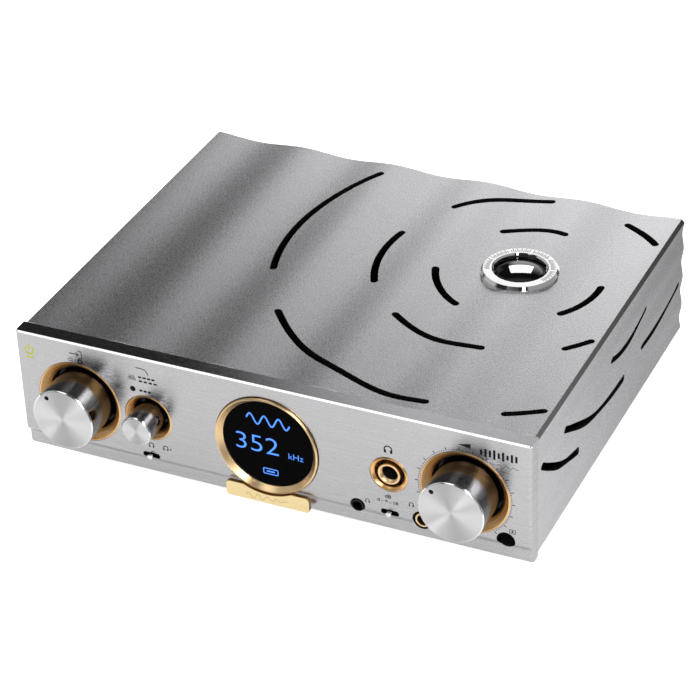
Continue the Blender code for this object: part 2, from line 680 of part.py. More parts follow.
def motor():
    """Small motor behind the plate; its bore takes the pinion's spindle."""
    x = VOLUME_X - MOTOR_DISTANCE
    place = at(x, 0, KNOB_HEIGHT)
    bore = SPINDLE_RADIUS + RUNNING_GAP
    nose = DRIVE_PLATE[0] - GAP
    front = DRIVE_PLATE[1] + GAP
    floor = SPINDLE_END + 0.0010
    rim = 0.0010
    outline = [
        (0, floor), (bore, floor), (bore, nose), (MOTOR_NOSE_RADIUS, nose), (MOTOR_NOSE_RADIUS, front),
        (MOTOR_RADIUS, front), (MOTOR_RADIUS, MOTOR_BACK - rim), (MOTOR_RADIUS - rim, MOTOR_BACK),
        (0, MOTOR_BACK),
    ]
    turned("volume_motor", outline, STEEL, place, 20)
    pinion = gear("motor_pinion", PINION_TEETH, 0, pi / PINION_TEETH, BRASS, place)
    span = (GEAR_DEPTHS[1] - 0.0010, SPINDLE_END)
    join(pinion, rod("spindle", SPINDLE_RADIUS, *span, STEEL, place, 10, helper=True))


# ---------------------------------------------------------------- display and nameplate
BEZEL_PROUD = 0.0008
BEZEL_WIDTH = 0.0025
BEZEL_BACK = 0.0032
GLASS_DEPTHS = (0.0012, 0.0027)
MODULE_DEPTHS = (0.0030, 0.0080)
DISPLAY_BOARD_HALF = 0.0210

PLATE_WIDTH = 0.0349
PLATE_LOW = 0.0013
PLATE_HIGH = 0.0078
PLATE_FRONT = -0.0021
PLATE_CORNER = 0.0012


def display():
    """A gold bezel let into the panel, with the glass inside it and the display module behind."""
    place = at(DISPLAY_X, 0, KNOB_HEIGHT)
    inner = DISPLAY_RADIUS - BEZEL_WIDTH
    bezel = [
        (DISPLAY_RADIUS, 0.0003 - BEZEL_PROUD), (DISPLAY_RADIUS - 0.0004, -BEZEL_PROUD),
        (inner, BEZEL_PROUD), (inner, BEZEL_BACK), (DISPLAY_RADIUS, BEZEL_BACK),
    ]
    turned("display_bezel", bezel, GOLD, place, 40)
    rod("display_glass", inner - GAP, *GLASS_DEPTHS, GLASS, place, 36)
    module = rod("display_module", inner - GAP, *MODULE_DEPTHS, BLACK, place, 24)
    half = (DISPLAY_BOARD_HALF, DISPLAY_BOARD_HALF)
    depths = (PANEL_DEPTH + GAP, PANEL_DEPTH + GAP + BOARD_THICKNESS)
    join(module, block("display_board", DISPLAY_X, KNOB_HEIGHT, half, depths, BOARD, helper=True))


def nameplate():
    """A gold bar with rounded corners, hollowed at the top to clear the display's bezel."""
    corner = PLATE_CORNER
    x = PLATE_WIDTH / 2 - corner
    low = PLATE_LOW + corner
    high = PLATE_HIGH - corner
    outline = []
    for cx, cz, first in ((x, high, 0), (-x, high, 90), (-x, low, 180), (x, low, 270)):
        outline += [(cx + corner * cos(a), cz + corner * sin(a)) for a in cap_angles(first, first + 90, 3)]
    thickness = -GAP - PLATE_FRONT
    place = at(0, (PLATE_FRONT - GAP) / 2, 0)
    plate = slab("nameplate", [outline], thickness, GOLD, place, (pi / 2, 0, 0))
    middle = at(DISPLAY_X, 0, KNOB_HEIGHT)
    span = (PLATE_FRONT - OVERRUN, OVERRUN)
    cut(plate, rod("nameplate_cutter", DISPLAY_RADIUS + GAP, *span, BLACK, middle, 40, helper=True))


# ---------------------------------------------------------------- headphone sockets
PHONE_TRIM_RADIUS = 0.00745
PHONE_TRIM_BORE = 0.0059
PHONE_BORE = 0.0033
PHONE_BUSH_RADIUS = 0.0046
PHONE_HALF = 0.0080
PHONE_BACK = 0.0370
PHONE_BORE_END = 0.0335
MINI_RADIUS = 0.00275
BALANCED_RADIUS = 0.0038
BALANCED_BORE = 0.0023
BALANCED_RING = 0.0031
BALANCED_REBATE = 0.0030


def socket(name, x, nose_radius, bore, bore_end, half, back):
    """A small socket: round nose through the panel, box body behind it, and a bore for the plug."""
    place = at(x, 0, LOW_ROW_HEIGHT)
    thing = block(name, x, LOW_ROW_HEIGHT, half, (PANEL_DEPTH + GAP, back), BLACK)
    join(thing, rod(name + "_nose", nose_radius, -0.0002, BUSH_ROOT, BLACK, place, 20, helper=True))
    cut(thing, rod(name + "_bore_cutter", bore, -OVERRUN, bore_end, BLACK, place, 18, helper=True))
    return thing


def phone_socket():
    """The 6.3 mm socket: dished trim ring, bush inside it, and body behind the panel."""
    place = at(PHONE_X, 0, KNOB_HEIGHT)
    rim = 0.0003
    back = PHONE_SEAT - GAP
    trim = [
        (PHONE_TRIM_RADIUS, 0), (PHONE_TRIM_RADIUS - rim, -rim), (PHONE_TRIM_BORE, 0.0006),
        (PHONE_TRIM_BORE, back), (PHONE_TRIM_RADIUS, back),
    ]
    turned("phone_socket_trim", trim, GOLD, place, 28)
    back = PANEL_DEPTH - 0.0001
    tube = [
        (PHONE_BORE, rim), (PHONE_BORE + rim, 0), (PHONE_BUSH_RADIUS - rim, 0), (PHONE_BUSH_RADIUS, rim),
        (PHONE_BUSH_RADIUS, back), (PHONE_BORE, back),
    ]
    turned("phone_socket_bush", tube, GOLD, place, 20)
    half = (PHONE_HALF, PHONE_HALF)
    depths = (PANEL_DEPTH + GAP, PHONE_BACK)
    body = block("phone_socket_body", PHONE_X, KNOB_HEIGHT, half, depths, BLACK)
    span = (PANEL_DEPTH - OVERRUN, PHONE_BORE_END)
    cut(body, rod("phone_bore_cutter", PHONE_BORE, *span, BLACK, place, 18, helper=True))


def small_sockets():
    """The 3.5 mm socket, and the 4.4 mm one with a gold ring let into its nose."""
    socket("mini_socket", MINI_X, MINI_RADIUS, 0.0018, 0.0160, (0.0040, 0.0040), 0.0200)
    deep = (0.0055, 0.0050)
    balanced = socket("balanced_socket", BALANCED_X, BALANCED_RADIUS, BALANCED_BORE, 0.0210, deep, 0.0260)
    place = at(BALANCED_X, 0, LOW_ROW_HEIGHT)
    rebate = (BALANCED_RING + GAP, -OVERRUN, BALANCED_REBATE)
    cut(balanced, rod("balanced_rebate_cutter", *rebate, BLACK, place, 20, helper=True))
    front = 0.0001
    back = BALANCED_REBATE - GAP
    ring = [(BALANCED_BORE, front), (BALANCED_RING, front), (BALANCED_RING, back), (BALANCED_BORE, back)]
    turned("balanced_socket_trim", ring, GOLD, place, 20)


# ---------------------------------------------------------------- slide switches
LEVER_TRAVEL = 0.0020
LEVER_SIZE = (0.0021, 0.0016)
LEVER_FRONT = -0.0016
SWITCH_HALF = (0.0066, 0.0030)
SWITCH_BACK = 0.0155
CHANNEL_DEPTH = 0.0030


def slide_switch(name, x):
    """A switch in its pocket, whose lever stands through the panel's slot and moves across."""
    front = SWITCH_WEB + GAP
    body = block(name + "_body", x, LOW_ROW_HEIGHT, SWITCH_HALF, (front, SWITCH_BACK), BLACK)
    half = (LEVER_SIZE[0] / 2 + LEVER_TRAVEL + GAP, LEVER_SIZE[1] / 2 + GAP)
    depths = (front - OVERRUN, front + CHANNEL_DEPTH)
    cut(body, block(name + "_channel_cutter", x, LOW_ROW_HEIGHT, half, depths, BLACK, helper=True))
    half = (LEVER_SIZE[0] / 2, LEVER_SIZE[1] / 2)
    depths = (LEVER_FRONT, front + CHANNEL_DEPTH - GAP)
    smooth(block(name + "_lever", x, LOW_ROW_HEIGHT, half, depths, BLACK, bevel=0.0003))


# ---------------------------------------------------------------- remote-control window
REMOTE_RADIUS = 0.0034


def remote_window():
    """A small dark lens set back in the panel, and the receiver with its bead behind it."""
    place = at(REMOTE_X, 0, LOW_ROW_HEIGHT)
    rod("remote_lens", REMOTE_RADIUS, 0.0010, 0.0026, GLASS, place, 20)
    body = rod("remote_receiver", REMOTE_RADIUS, 0.0045, 0.0066, BLACK, place, 16)
    bead = [(0, 0.0030), (0.0012, 0.0032), (0.0020, 0.0040), (0.0020, 0.0055), (0, 0.0055)]
    join(body, turned("receiver_bead", bead, BLACK, place, 12, helper=True))


# ---------------------------------------------------------------- boards and tubes
FRONT_BOARD_DEPTH = 0.0158
FRONT_BOARD_LOW = (-0.0965, 0.0048)
FRONT_BOARD_HIGH = (0.0645, 0.0475)
MAIN_BOARD_HEIGHT = 0.0085
MAIN_BOARD_X = 0.094
MAIN_BOARD_DEPTHS = (0.040, 0.146)
POST_INSET = (0.008, 0.007)
POST_RADIUS = 0.0030
CAPACITOR_XS = (-0.070, -0.046)
CAPACITOR = (0.090, 0.009, 0.030)  # depth, radius, height above the board's underside
TUBE_RADIUS = 0.0085
TUBE_LENGTH = 0.0370
TUBE_HEIGHT = 0.0330
TUBE_SPACING = 0.0110
TUBE_PIP = 0.0025
TUBE_PIN = 0.0035
TUBE_BOARD_DEPTH = WINDOW_DEPTH + 0.0225
TUBE_BOARD_HALF = (TUBE_SPACING + TUBE_RADIUS + 0.002, 0.0110)
HOLDER_RADIUS = 0.0095
HOLDER_LENGTH = 0.0050
JOIN_DEPTH = 0.0008  # how far a joined piece runs into its neighbour


def front_board():
    """Upright board behind the dials and switches, notched round the sockets that pass it."""
    back = FRONT_BOARD_DEPTH + BOARD_THICKNESS
    low = (FRONT_BOARD_LOW[0], FRONT_BOARD_DEPTH, FRONT_BOARD_LOW[1])
    high = (FRONT_BOARD_HIGH[0], back, FRONT_BOARD_HIGH[1])
    board = box("front_board", low, high, BOARD)
    # name, x, height, half size, and how far the notch runs on below and to the right
    notches = (
        ("phone", PHONE_X, KNOB_HEIGHT, 0.0083, 0.0, 0.0),
        ("mini", MINI_X, LOW_ROW_HEIGHT, 0.0043, 0.010, 0.0),
        ("balanced", BALANCED_X, LOW_ROW_HEIGHT, 0.0058, 0.010, 0.005),
    )
    for name, x, height, half, run_down, run_right in notches:
        low = (x - half, FRONT_BOARD_DEPTH - OVERRUN, height - half - run_down)
        high = (x + half + run_right, back + OVERRUN, height + half)
        cut(board, box(name + "_notch_cutter", low, high, BLACK, helper=True))


def main_board():
    """The flat board on its posts, with the tall parts that stand on it."""
    front, back = MAIN_BOARD_DEPTHS
    low = (-MAIN_BOARD_X, front, MAIN_BOARD_HEIGHT)
    board = box("main_board", low, (MAIN_BOARD_X, back, MAIN_BOARD_HEIGHT + BOARD_THICKNESS), BOARD)
    root = MAIN_BOARD_HEIGHT + JOIN_DEPTH
    across, along = POST_INSET
    for x in (across - MAIN_BOARD_X, MAIN_BOARD_X - across):
        for depth in (front + along, back - along):
            span = (INNER_LOW + GAP, root)
            post = rod("board_post", POST_RADIUS, *span, BRASS, at(x, depth, 0), 8, (0, 0, 0), True)
            join(board, post)
    depth, radius, height = CAPACITOR
    for x in CAPACITOR_XS:
        span = (root, MAIN_BOARD_HEIGHT + height)
        join(board, rod("capacitor", radius, *span, BLACK, at(x, depth, 0), 12, (0, 0, 0), True))


def tubes():
    """Two glass tubes lying under the window, plugged into an upright board behind them."""
    front = TUBE_BOARD_DEPTH
    depths = (front, front + BOARD_THICKNESS)
    riser = block("tube_board", WINDOW_X, TUBE_HEIGHT, TUBE_BOARD_HALF, depths, BOARD)
    back = front - HOLDER_LENGTH - GAP
    nose = back - TUBE_LENGTH
    shoulder = nose + 0.0060
    for side, name in ((-1, "left"), (1, "right")):
        place = at(WINDOW_X + side * TUBE_SPACING, 0, TUBE_HEIGHT)
        span = (front - HOLDER_LENGTH, front + JOIN_DEPTH)
        join(riser, rod(f"holder_{name}", HOLDER_RADIUS, *span, BLACK, place, 14, helper=True))
        span = (front - HOLDER_LENGTH - OVERRUN, front - JOIN_DEPTH)
        pin_hole = TUBE_PIP + 2 * GAP
        cut(riser, rod(f"holder_cutter_{name}", pin_hole, *span, BLACK, place, 10, helper=True))
        glass = [
            (0, nose), (0.0015, nose + 0.0010), (TUBE_PIP, nose + 0.0040), (TUBE_RADIUS - 0.001, shoulder),
            (TUBE_RADIUS, shoulder + 0.0030), (TUBE_RADIUS, back), (TUBE_PIP, back),
            (TUBE_PIP, back + TUBE_PIN), (0, back + TUBE_PIN),
        ]
        turned(f"tube_{name}", glass, TUBE_GLASS, place, 18)


# ---------------------------------------------------------------- rear panel and its sockets
OUTPUT_XS = (0.0780, 0.0460)
LINE_XS = (0.0210, 0.0050)
COAX_X = -0.0130
USB_X = -0.0360
NETWORK_X = -0.0590
POWER_X = -0.0840
REAR_ROW = MID_HEIGHT  # height of the sockets' centres
REAR_FACE = CASE_DEPTH
REAR_SEAT = REAR_FACE + GAP  # flanges and screw heads start here
SOCKET_START = 0.1600  # front ends of the turned sockets, inside the case

OUTPUT_FLANGE = (0.0130, 0.0155)
OUTPUT_FLANGE_THICKNESS = 0.0020
OUTPUT_SHELL = 0.0118
OUTPUT_MOUTH = 0.0095
OUTPUT_PIN = 0.0012
OUTPUT_PIN_CIRCLE = 0.0045
OUTPUT_LENGTH = 0.0200
LINE_RADIUS = 0.0042
COAX_RADIUS = 0.0047
CENTRE_PIN = 0.0016
POWER_RADIUS = 0.0050
POWER_MOUTH = 0.0028
POWER_PIN = 0.0010
USB_HALF = (0.0060, 0.0054)
USB_MOUTH = (0.0046, 0.0041)
USB_TONGUE = (0.0028, 0.0016)
NETWORK_HALF = (0.0080, 0.0067)
NETWORK_MOUTH = (0.0059, 0.0042)
NETWORK_LATCH = (0.0030, 0.0055)
PORT_PROUD = 0.0004
SCREW_HEAD = 0.0028
SCREW_HEAD_RISE = 0.0014
SCREW_KEY = 0.0010


def rear_panel():
    """Flat plate set inside the sleeve's ripples, holed for its screws and sockets."""
    inset = SIDE_WAVE_DROP + GAP
    low = (-HALF_WIDTH + inset, REAR_FACE - REAR_PLATE, SLEEVE_RISE + GAP)
    high = (HALF_WIDTH - inset, REAR_FACE, CASE_HEIGHT - TOP_WAVE_DROP - GAP)
    panel = box("rear_panel", low, high, BLASTED, bevel=0.0003)
    holes = [(x, REAR_ROW, OUTPUT_SHELL + GAP, 24) for x in OUTPUT_XS]
    holes += [(x, REAR_ROW, LINE_RADIUS + GAP, 16) for x in LINE_XS]
    holes.append((COAX_X, REAR_ROW, COAX_RADIUS + GAP, 16))
    holes.append((POWER_X, REAR_ROW, POWER_RADIUS + GAP, 16))
    holes += [(x, height, SCREW_RADIUS + GAP, 10) for x, height in rear_screw_places()]
    through = (REAR_FACE - REAR_PLATE - OVERRUN, REAR_FACE + OVERRUN)
    for x, height, radius, steps in holes:
        cut(panel, rod("rear_hole_cutter", radius, *through, BLACK, at(x, 0, height), steps, helper=True))
    for x, half in ((USB_X, USB_HALF), (NETWORK_X, NETWORK_HALF)):
        room = (half[0] + GAP, half[1] + GAP)
        cut(panel, block("port_cutter", x, REAR_ROW, room, through, BLACK, helper=True))


def rear_screws():
    """Domed hexagon-socket screws through the rear panel into the sleeve's corners."""
    end = SLEEVE_END - SCREW_LENGTH
    crown = REAR_SEAT + SCREW_HEAD_RISE
    for index, (x, height) in enumerate(rear_screw_places(), start=1):
        outline = [
            (0, end), (SCREW_RADIUS, end), (SCREW_RADIUS, REAR_SEAT), (SCREW_HEAD, REAR_SEAT),
            (SCREW_HEAD - 0.0002, crown - 0.0005), (SCREW_HEAD - 0.0012, crown), (0, crown),
        ]
        screw = turned(f"rear_screw_{index}", outline, STEEL, at(x, 0, height), 12)
        hexagon = circle(SCREW_KEY, 6)
        place = at(x, crown, height)
        turn = (pi / 2, 0, 0)
        cut(screw, slab(f"screw_key_cutter_{index}", [hexagon], 0.0016, BLACK, place, turn, helper=True))


def balanced_output(name, x):
    """Three-pin socket: square flange on the panel, round shell, and pins standing on its floor."""
    top = REAR_SEAT + OUTPUT_FLANGE_THICKNESS
    flange = block(name, x, REAR_ROW, OUTPUT_FLANGE, (REAR_SEAT, top), BLACK, bevel=0.0010)
    place = at(x, 0, REAR_ROW)
    start = REAR_FACE - OUTPUT_LENGTH
    floor = start + 0.0050
    span = (start, REAR_SEAT + 0.0010)
    join(flange, rod(name + "_shell", OUTPUT_SHELL, *span, BLACK, place, 24, helper=True))
    span = (floor, top + OVERRUN)
    cut(flange, rod(name + "_mouth_cutter", OUTPUT_MOUTH, *span, BLACK, place, 24, helper=True))
    for angle in (90, 210, 330):
        across = OUTPUT_PIN_CIRCLE * cos(radians(angle))
        down = OUTPUT_PIN_CIRCLE * sin(radians(angle))
        span = (floor - JOIN_DEPTH, REAR_FACE - 0.0015)
        spot = at(x + across, 0, REAR_ROW - down)
        join(flange, rod(f"{name}_pin_{angle}", OUTPUT_PIN, *span, STEEL, spot, 8, helper=True))


def line_output(name, x):
    """Phono socket: round seat, gold barrel and a blind centre hole."""
    end = REAR_FACE + REAR_REACH
    seat = REAR_SEAT + 0.0022
    floor = REAR_FACE + 0.0010
    outline = [
        (0, SOCKET_START), (LINE_RADIUS, SOCKET_START), (LINE_RADIUS, REAR_SEAT), (0.0062, REAR_SEAT),
        (0.0062, seat), (LINE_RADIUS, seat), (LINE_RADIUS, end - 0.0006), (LINE_RADIUS - 0.0004, end),
        (CENTRE_PIN, end), (CENTRE_PIN, floor), (0, floor),
    ]
    turned(name, outline, GOLD, at(x, 0, REAR_ROW), 16)


def coaxial_input():
    """Digital socket: threaded-barrel shape with a centre pin inside."""
    end = REAR_FACE + 0.0100
    seat = REAR_SEAT + 0.0020
    mouth = COAX_RADIUS - 0.0007
    floor = REAR_FACE + 0.0015
    pin = REAR_FACE + 0.0060
    outline = [
        (0, SOCKET_START), (COAX_RADIUS, SOCKET_START), (COAX_RADIUS, REAR_SEAT), (0.0066, REAR_SEAT),
        (0.0066, seat), (COAX_RADIUS, seat), (COAX_RADIUS, end - 0.0004), (mouth, end), (mouth, floor),
        (CENTRE_PIN, floor), (CENTRE_PIN, pin), (0, pin),
    ]
    turned("coaxial_input", outline, STEEL, at(COAX_X, 0, REAR_ROW), 16)


def power_inlet():
    """Round inlet for the power supply, with its pin on the floor of the mouth."""
    rim = REAR_SEAT + 0.0012
    floor = SOCKET_START + 0.0040
    pin = REAR_FACE - 0.0010
    outline = [
        (0, SOCKET_START), (POWER_RADIUS, SOCKET_START), (POWER_RADIUS, REAR_SEAT),
        (POWER_RADIUS + 0.0008, REAR_SEAT), (POWER_RADIUS + 0.0008, rim), (POWER_MOUTH, rim),
        (POWER_MOUTH, floor), (POWER_PIN, floor), (POWER_PIN, pin), (0, pin),
    ]
    turned("power_inlet", outline, BLACK, at(POWER_X, 0, REAR_ROW), 16)


def shelled_ports():
    """The computer socket with its tongue, and the network socket with the notch for its latch."""
    end = REAR_FACE + PORT_PROUD
    opening = end + OVERRUN
    usb_floor = 0.1640
    shell = block("usb_input", USB_X, REAR_ROW, USB_HALF, (0.1560, end), STEEL)
    mouth = (usb_floor, opening)
    cut(shell, block("usb_mouth_cutter", USB_X, REAR_ROW, USB_MOUTH, mouth, BLACK, helper=True))
    tongue = (usb_floor - JOIN_DEPTH, REAR_FACE - 0.0010)
    join(shell, block("usb_tongue", USB_X, REAR_ROW, USB_TONGUE, tongue, BLACK, helper=True))
    port = block("network_port", NETWORK_X, REAR_ROW, NETWORK_HALF, (0.1540, end), STEEL)
    mouth = (0.1620, opening)
    cut(port, block("network_mouth_cutter", NETWORK_X, REAR_ROW, NETWORK_MOUTH, mouth, BLACK, helper=True))
    latch_low = (NETWORK_X - NETWORK_LATCH[0], mouth[0], REAR_ROW - NETWORK_LATCH[1])
    latch_high = (NETWORK_X + NETWORK_LATCH[0], mouth[1], REAR_ROW)
    cut(port, box("network_latch_cutter", latch_low, latch_high, BLACK, helper=True))


# ---------------------------------------------------------------- feet
FOOT_RADIUS = 0.0100
FOOT_X = 0.0880
FOOT_DEPTHS = (0.0260, 0.1500)
FOOT_RECESS = (0.0035, 0.0045)  # radius and height of the hole for the fixing


def feet():
    """Rubber feet with a recess underneath for their fixing."""
    top = FOOT_HEIGHT + SLEEVE_RISE - GAP
    recess, ceiling = FOOT_RECESS
    places = [(x, depth) for depth in FOOT_DEPTHS for x in (-FOOT_X, FOOT_X)]
    for index, (x, depth) in enumerate(places, start=1):
        outline = [
            (0, ceiling), (recess, ceiling), (recess, 0), (FOOT_RADIUS - 0.0010, 0),
            (FOOT_RADIUS, 0.0015), (FOOT_RADIUS - 0.0005, top), (0, top),
        ]
        place = at(x, depth, -FOOT_HEIGHT)
        turned(f"foot_{index}", outline, RUBBER, place, 20, (0, 0, 0))


case_sleeve()
front_panel()
top_window()
input_dial()
filter_dial()
volume_dial()
volume_potentiometer()
motor()
display()
nameplate()
phone_socket()
small_sockets()
slide_switch("mode_switch", FILTER_X)
slide_switch("gain_switch", PHONE_X)
remote_window()
front_board()
main_board()
tubes()
rear_panel()
rear_screws()
balanced_output("balanced_output_left", OUTPUT_XS[0])
balanced_output("balanced_output_right", OUTPUT_XS[1])
line_output("line_output_left", LINE_XS[0])
line_output("line_output_right", LINE_XS[1])
coaxial_input()
power_inlet()
shelled_ports()
feet()
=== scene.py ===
"""Looks of the desktop headphone amplifier: fine meshes, finishes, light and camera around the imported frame.

+Z is up and the front is towards -Y. Lengths are millimetres, which the mesh functions turn into metres;
the studio at the end is in metres. Every place is worked out from the frame's boxes. An outline's point is
(u, v), or (u, v, radius) where its corner is rounded. A turned piece's outline is (radius, along): along runs
back, or up, from the place that the piece is put at.
"""
import json
from math import ceil, cos, degrees, pi, radians, sin, tan

import bmesh
import bpy
from mathutils import Matrix, Vector


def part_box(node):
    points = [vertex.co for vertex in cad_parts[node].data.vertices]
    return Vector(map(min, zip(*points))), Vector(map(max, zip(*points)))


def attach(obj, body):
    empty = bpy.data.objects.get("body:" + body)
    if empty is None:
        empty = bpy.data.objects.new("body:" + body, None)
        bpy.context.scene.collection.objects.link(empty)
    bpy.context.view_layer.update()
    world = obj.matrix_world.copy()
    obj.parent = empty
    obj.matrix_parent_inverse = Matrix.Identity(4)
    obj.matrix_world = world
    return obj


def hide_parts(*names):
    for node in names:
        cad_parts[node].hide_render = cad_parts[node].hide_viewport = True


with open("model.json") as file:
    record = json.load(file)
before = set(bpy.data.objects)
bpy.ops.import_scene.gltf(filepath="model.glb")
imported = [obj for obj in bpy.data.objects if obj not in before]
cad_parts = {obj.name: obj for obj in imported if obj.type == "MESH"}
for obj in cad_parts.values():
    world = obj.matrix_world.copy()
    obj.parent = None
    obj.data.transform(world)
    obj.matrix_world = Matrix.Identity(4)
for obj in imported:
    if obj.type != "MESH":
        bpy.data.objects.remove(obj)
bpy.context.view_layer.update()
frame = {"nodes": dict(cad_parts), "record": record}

SCENE = bpy.context.scene
RECORD = frame["record"]
BODY_OF = {node: body for body, nodes in RECORD["behaviour"]["bodies"].items() for node in nodes}
SLOT_OF = {entry["node"]: entry["material_slot"] for entry in RECORD["subparts"]}
PER_METRE = 1000
MM = 1 / PER_METRE
MICRON = 1e-6


# ---------------------------------------------------------------- places taken from the frame
def box(name):
    """A node's low and high corners."""
    return [corner * PER_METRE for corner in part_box(name)]


def middle(name):
    low, high = box(name)
    return (low + high) / 2


def radius_of(name):
    low, high = box(name)
    return (high.x - low.x) / 2


PANEL_LOW, PANEL_HIGH = box("front_panel")
SLEEVE_LOW, SLEEVE_HIGH = box("case_sleeve")
FRONT, UNDER = PANEL_LOW.y, PANEL_LOW.z
HALF_WIDTH, TOP = PANEL_HIGH.x, PANEL_HIGH.z
CASE_HEIGHT = TOP - UNDER
PANEL_DEPTH = PANEL_HIGH.y - FRONT
REAR = box("rear_panel")[1].y
GAP = 0.3
THROUGH = 2.0


def depths(name, plane=FRONT):
    """How far a node's front and back lie behind a plane."""
    low, high = box(name)
    return low.y - plane, high.y - plane


def on_plane(name, plane=FRONT):
    """The point of a plane that a node's front-to-back axis passes through."""
    spot = middle(name)
    return Vector((spot.x, plane, spot.z))


# ---------------------------------------------------------------- node trees
def node(tree, kind, inputs=None, **settings):
    """Add a shader node; an input is given as a value or as another node's output."""
    made = tree.nodes.new("ShaderNode" + kind)
    for key, value in settings.items():
        setattr(made, key, value)
    for key, value in (inputs or {}).items():
        if isinstance(value, bpy.types.NodeSocket):
            tree.links.new(value, made.inputs[key])
        else:
            made.inputs[key].default_value = value
    return made


def sums(tree, operation, first, second=0.0):
    return node(tree, "Math", {0: first, 1: second}, operation=operation).outputs[0]


def around(tree, place):
    """Coordinates of turned work: distance from the Y axis, distance along it, and no third value."""
    split = node(tree, "SeparateXYZ", {0: place})
    flat = node(tree, "CombineXYZ", {"X": split.outputs["X"], "Z": split.outputs["Z"]})
    reach = node(tree, "VectorMath", {0: flat.outputs[0]}, operation="LENGTH").outputs["Value"]
    return node(tree, "CombineXYZ", {"X": reach, "Y": split.outputs["Y"]}).outputs[0]


PATCHES_PER_METRE = 35.0


def material(name, colour, roughness, metallic, grain, shade, rough, bump, detail=2.0, lathe=False,
             patch=0.04, aniso=0.0, round_axis="Y", emit=0.0, transmit=0.0, gloss=0.5):
    """A finish whose colour, roughness and relief (bump, in microns) vary with one grain, given per metre.

    patch is a broad, soft change of shade. A lathe finish has its grain round the piece's own axis.
    """
    made = bpy.data.materials.new(name)
    made.use_nodes = True
    tree = made.node_tree
    shader = tree.nodes["Principled BSDF"]
    place = node(tree, "TexCoord").outputs["Object"]
    fine = around(tree, place) if lathe else place
    fine = node(tree, "Mapping", {"Vector": fine, "Scale": grain}).outputs[0]
    noise = node(tree, "TexNoise", {"Vector": fine, "Scale": 1.0, "Detail": detail}).outputs["Fac"]
    wide = {"Vector": place, "Scale": PATCHES_PER_METRE, "Detail": 1.0}
    broad = node(tree, "TexNoise", wide).outputs["Fac"]
    centred = sums(tree, "SUBTRACT", noise, 0.5)
    drift = sums(tree, "MULTIPLY", sums(tree, "SUBTRACT", broad, 0.5), 2 * patch)
    light = sums(tree, "ADD", sums(tree, "MULTIPLY", centred, 4 * shade), drift)
    light = sums(tree, "ADD", light, 1.0)
    tint = node(tree, "VectorMath", {0: colour, "Scale": light}, operation="SCALE").outputs[0]
    tree.links.new(tint, shader.inputs["Base Color"])
    dull = sums(tree, "ADD", sums(tree, "MULTIPLY", centred, 4 * rough), roughness)
    tree.links.new(node(tree, "Clamp", {0: dull, 1: 0.02, 2: 1.0}).outputs[0], shader.inputs["Roughness"])
    relief = node(tree, "Bump", {"Height": noise, "Distance": bump * MICRON, "Strength": 1.0}).outputs[0]
    tree.links.new(relief, shader.inputs["Normal"])
    values = {"Metallic": metallic, "Specular IOR Level": gloss, "Transmission Weight": transmit}
    if aniso:
        values.update({"Anisotropic": aniso, "Anisotropic Rotation": 0.25})
        tangent = node(tree, "Tangent", direction_type="RADIAL", axis=round_axis)
        tree.links.new(tangent.outputs[0], shader.inputs["Tangent"])
    if emit:
        tree.links.new(tint, shader.inputs["Emission Color"])
        values["Emission Strength"] = emit
    for key, value in values.items():
        shader.inputs[key].default_value = value
    return made


EVEN = (4000, 4000, 4000)
BLASTED = material("blasted_aluminium", (0.62, 0.615, 0.635), 0.28, 1.0, (2300, 2300, 2300), 0.19, 0.06, 30,
                   3.0, patch=0.02)
BRUSHED = material("brushed_aluminium", (0.56, 0.555, 0.565), 0.28, 1.0, (32, 32, 3000), 0.14, 0.08, 12, 3.0,
                   patch=0.03, aniso=0.6, round_axis="Z")
POLISHED = material("polished_aluminium", (0.92, 0.92, 0.93), 0.12, 1.0, (60, 60, 2500), 0.02, 0.03, 1.5)
CROWN = material("ground_aluminium", (0.60, 0.60, 0.62), 0.09, 1.0, (500, 3000, 500), 0.12, 0.05, 4)
CUT_EDGE = material("cut_edge_aluminium", (0.50, 0.50, 0.51), 0.10, 1.0, (2500, 60, 2500), 0.05, 0.03, 1)
# Near-black: the rear screw heads' own colour, and painted shade in slots, bores, mouths, dents and inside the
# case.
CAVITY = material("black_finish_and_painted_shade", (0.008, 0.008, 0.009), 0.45, 0.0, EVEN, 0.10, 0.08, 6, gloss=0.1)
DARK_CHROME = material("dark_chrome", (0.27, 0.265, 0.275), 0.13, 1.0, (300, 9000, 1), 0.05, 0.03, 0.4,
                       lathe=True, aniso=0.85)
SPUN = material("spun_aluminium", (0.70, 0.70, 0.71), 0.38, 1.0, (6000, 200, 1), 0.015, 0.03, 0.4,
                lathe=True, aniso=0.95)
CHROME = material("chrome", (0.90, 0.90, 0.91), 0.05, 1.0, (2500, 2500, 2500), 0.02, 0.015, 0.5)
GOLD = material("satin_gold", (1.0, 0.61, 0.26), 0.30, 1.0, (7000, 3000, 1), 0.04, 0.05, 1.5, lathe=True)
BRIGHT_GOLD = material("bright_gold", (0.97, 0.70, 0.38), 0.30, 1.0, (6000, 3000, 1), 0.03, 0.03, 1,
                       lathe=True)
PALE_GOLD = material("pale_gold", (1.0, 0.80, 0.43), 0.30, 1.0, (300, 300, 9000), 0.04, 0.05, 2)
# A dark copy of the nameplate's gold: painted shade on the plate's top, bottom and end faces.
SHADED_GOLD = material("painted_shade_gold", (0.42, 0.24, 0.09), 0.30, 1.0, EVEN, 0.05, 0.05, 2)
STEEL = material("steel", (0.56, 0.56, 0.57), 0.28, 1.0, (6000, 2500, 1), 0.06, 0.06, 2, lathe=True)
BRASS = material("brass", (0.55, 0.36, 0.14), 0.40, 1.0, EVEN, 0.06, 0.06, 2)
BLACK = material("black_plastic", (0.014, 0.014, 0.015), 0.30, 0.0, (2600, 2600, 2600), 0.15, 0.08, 8,
                 gloss=0.3)
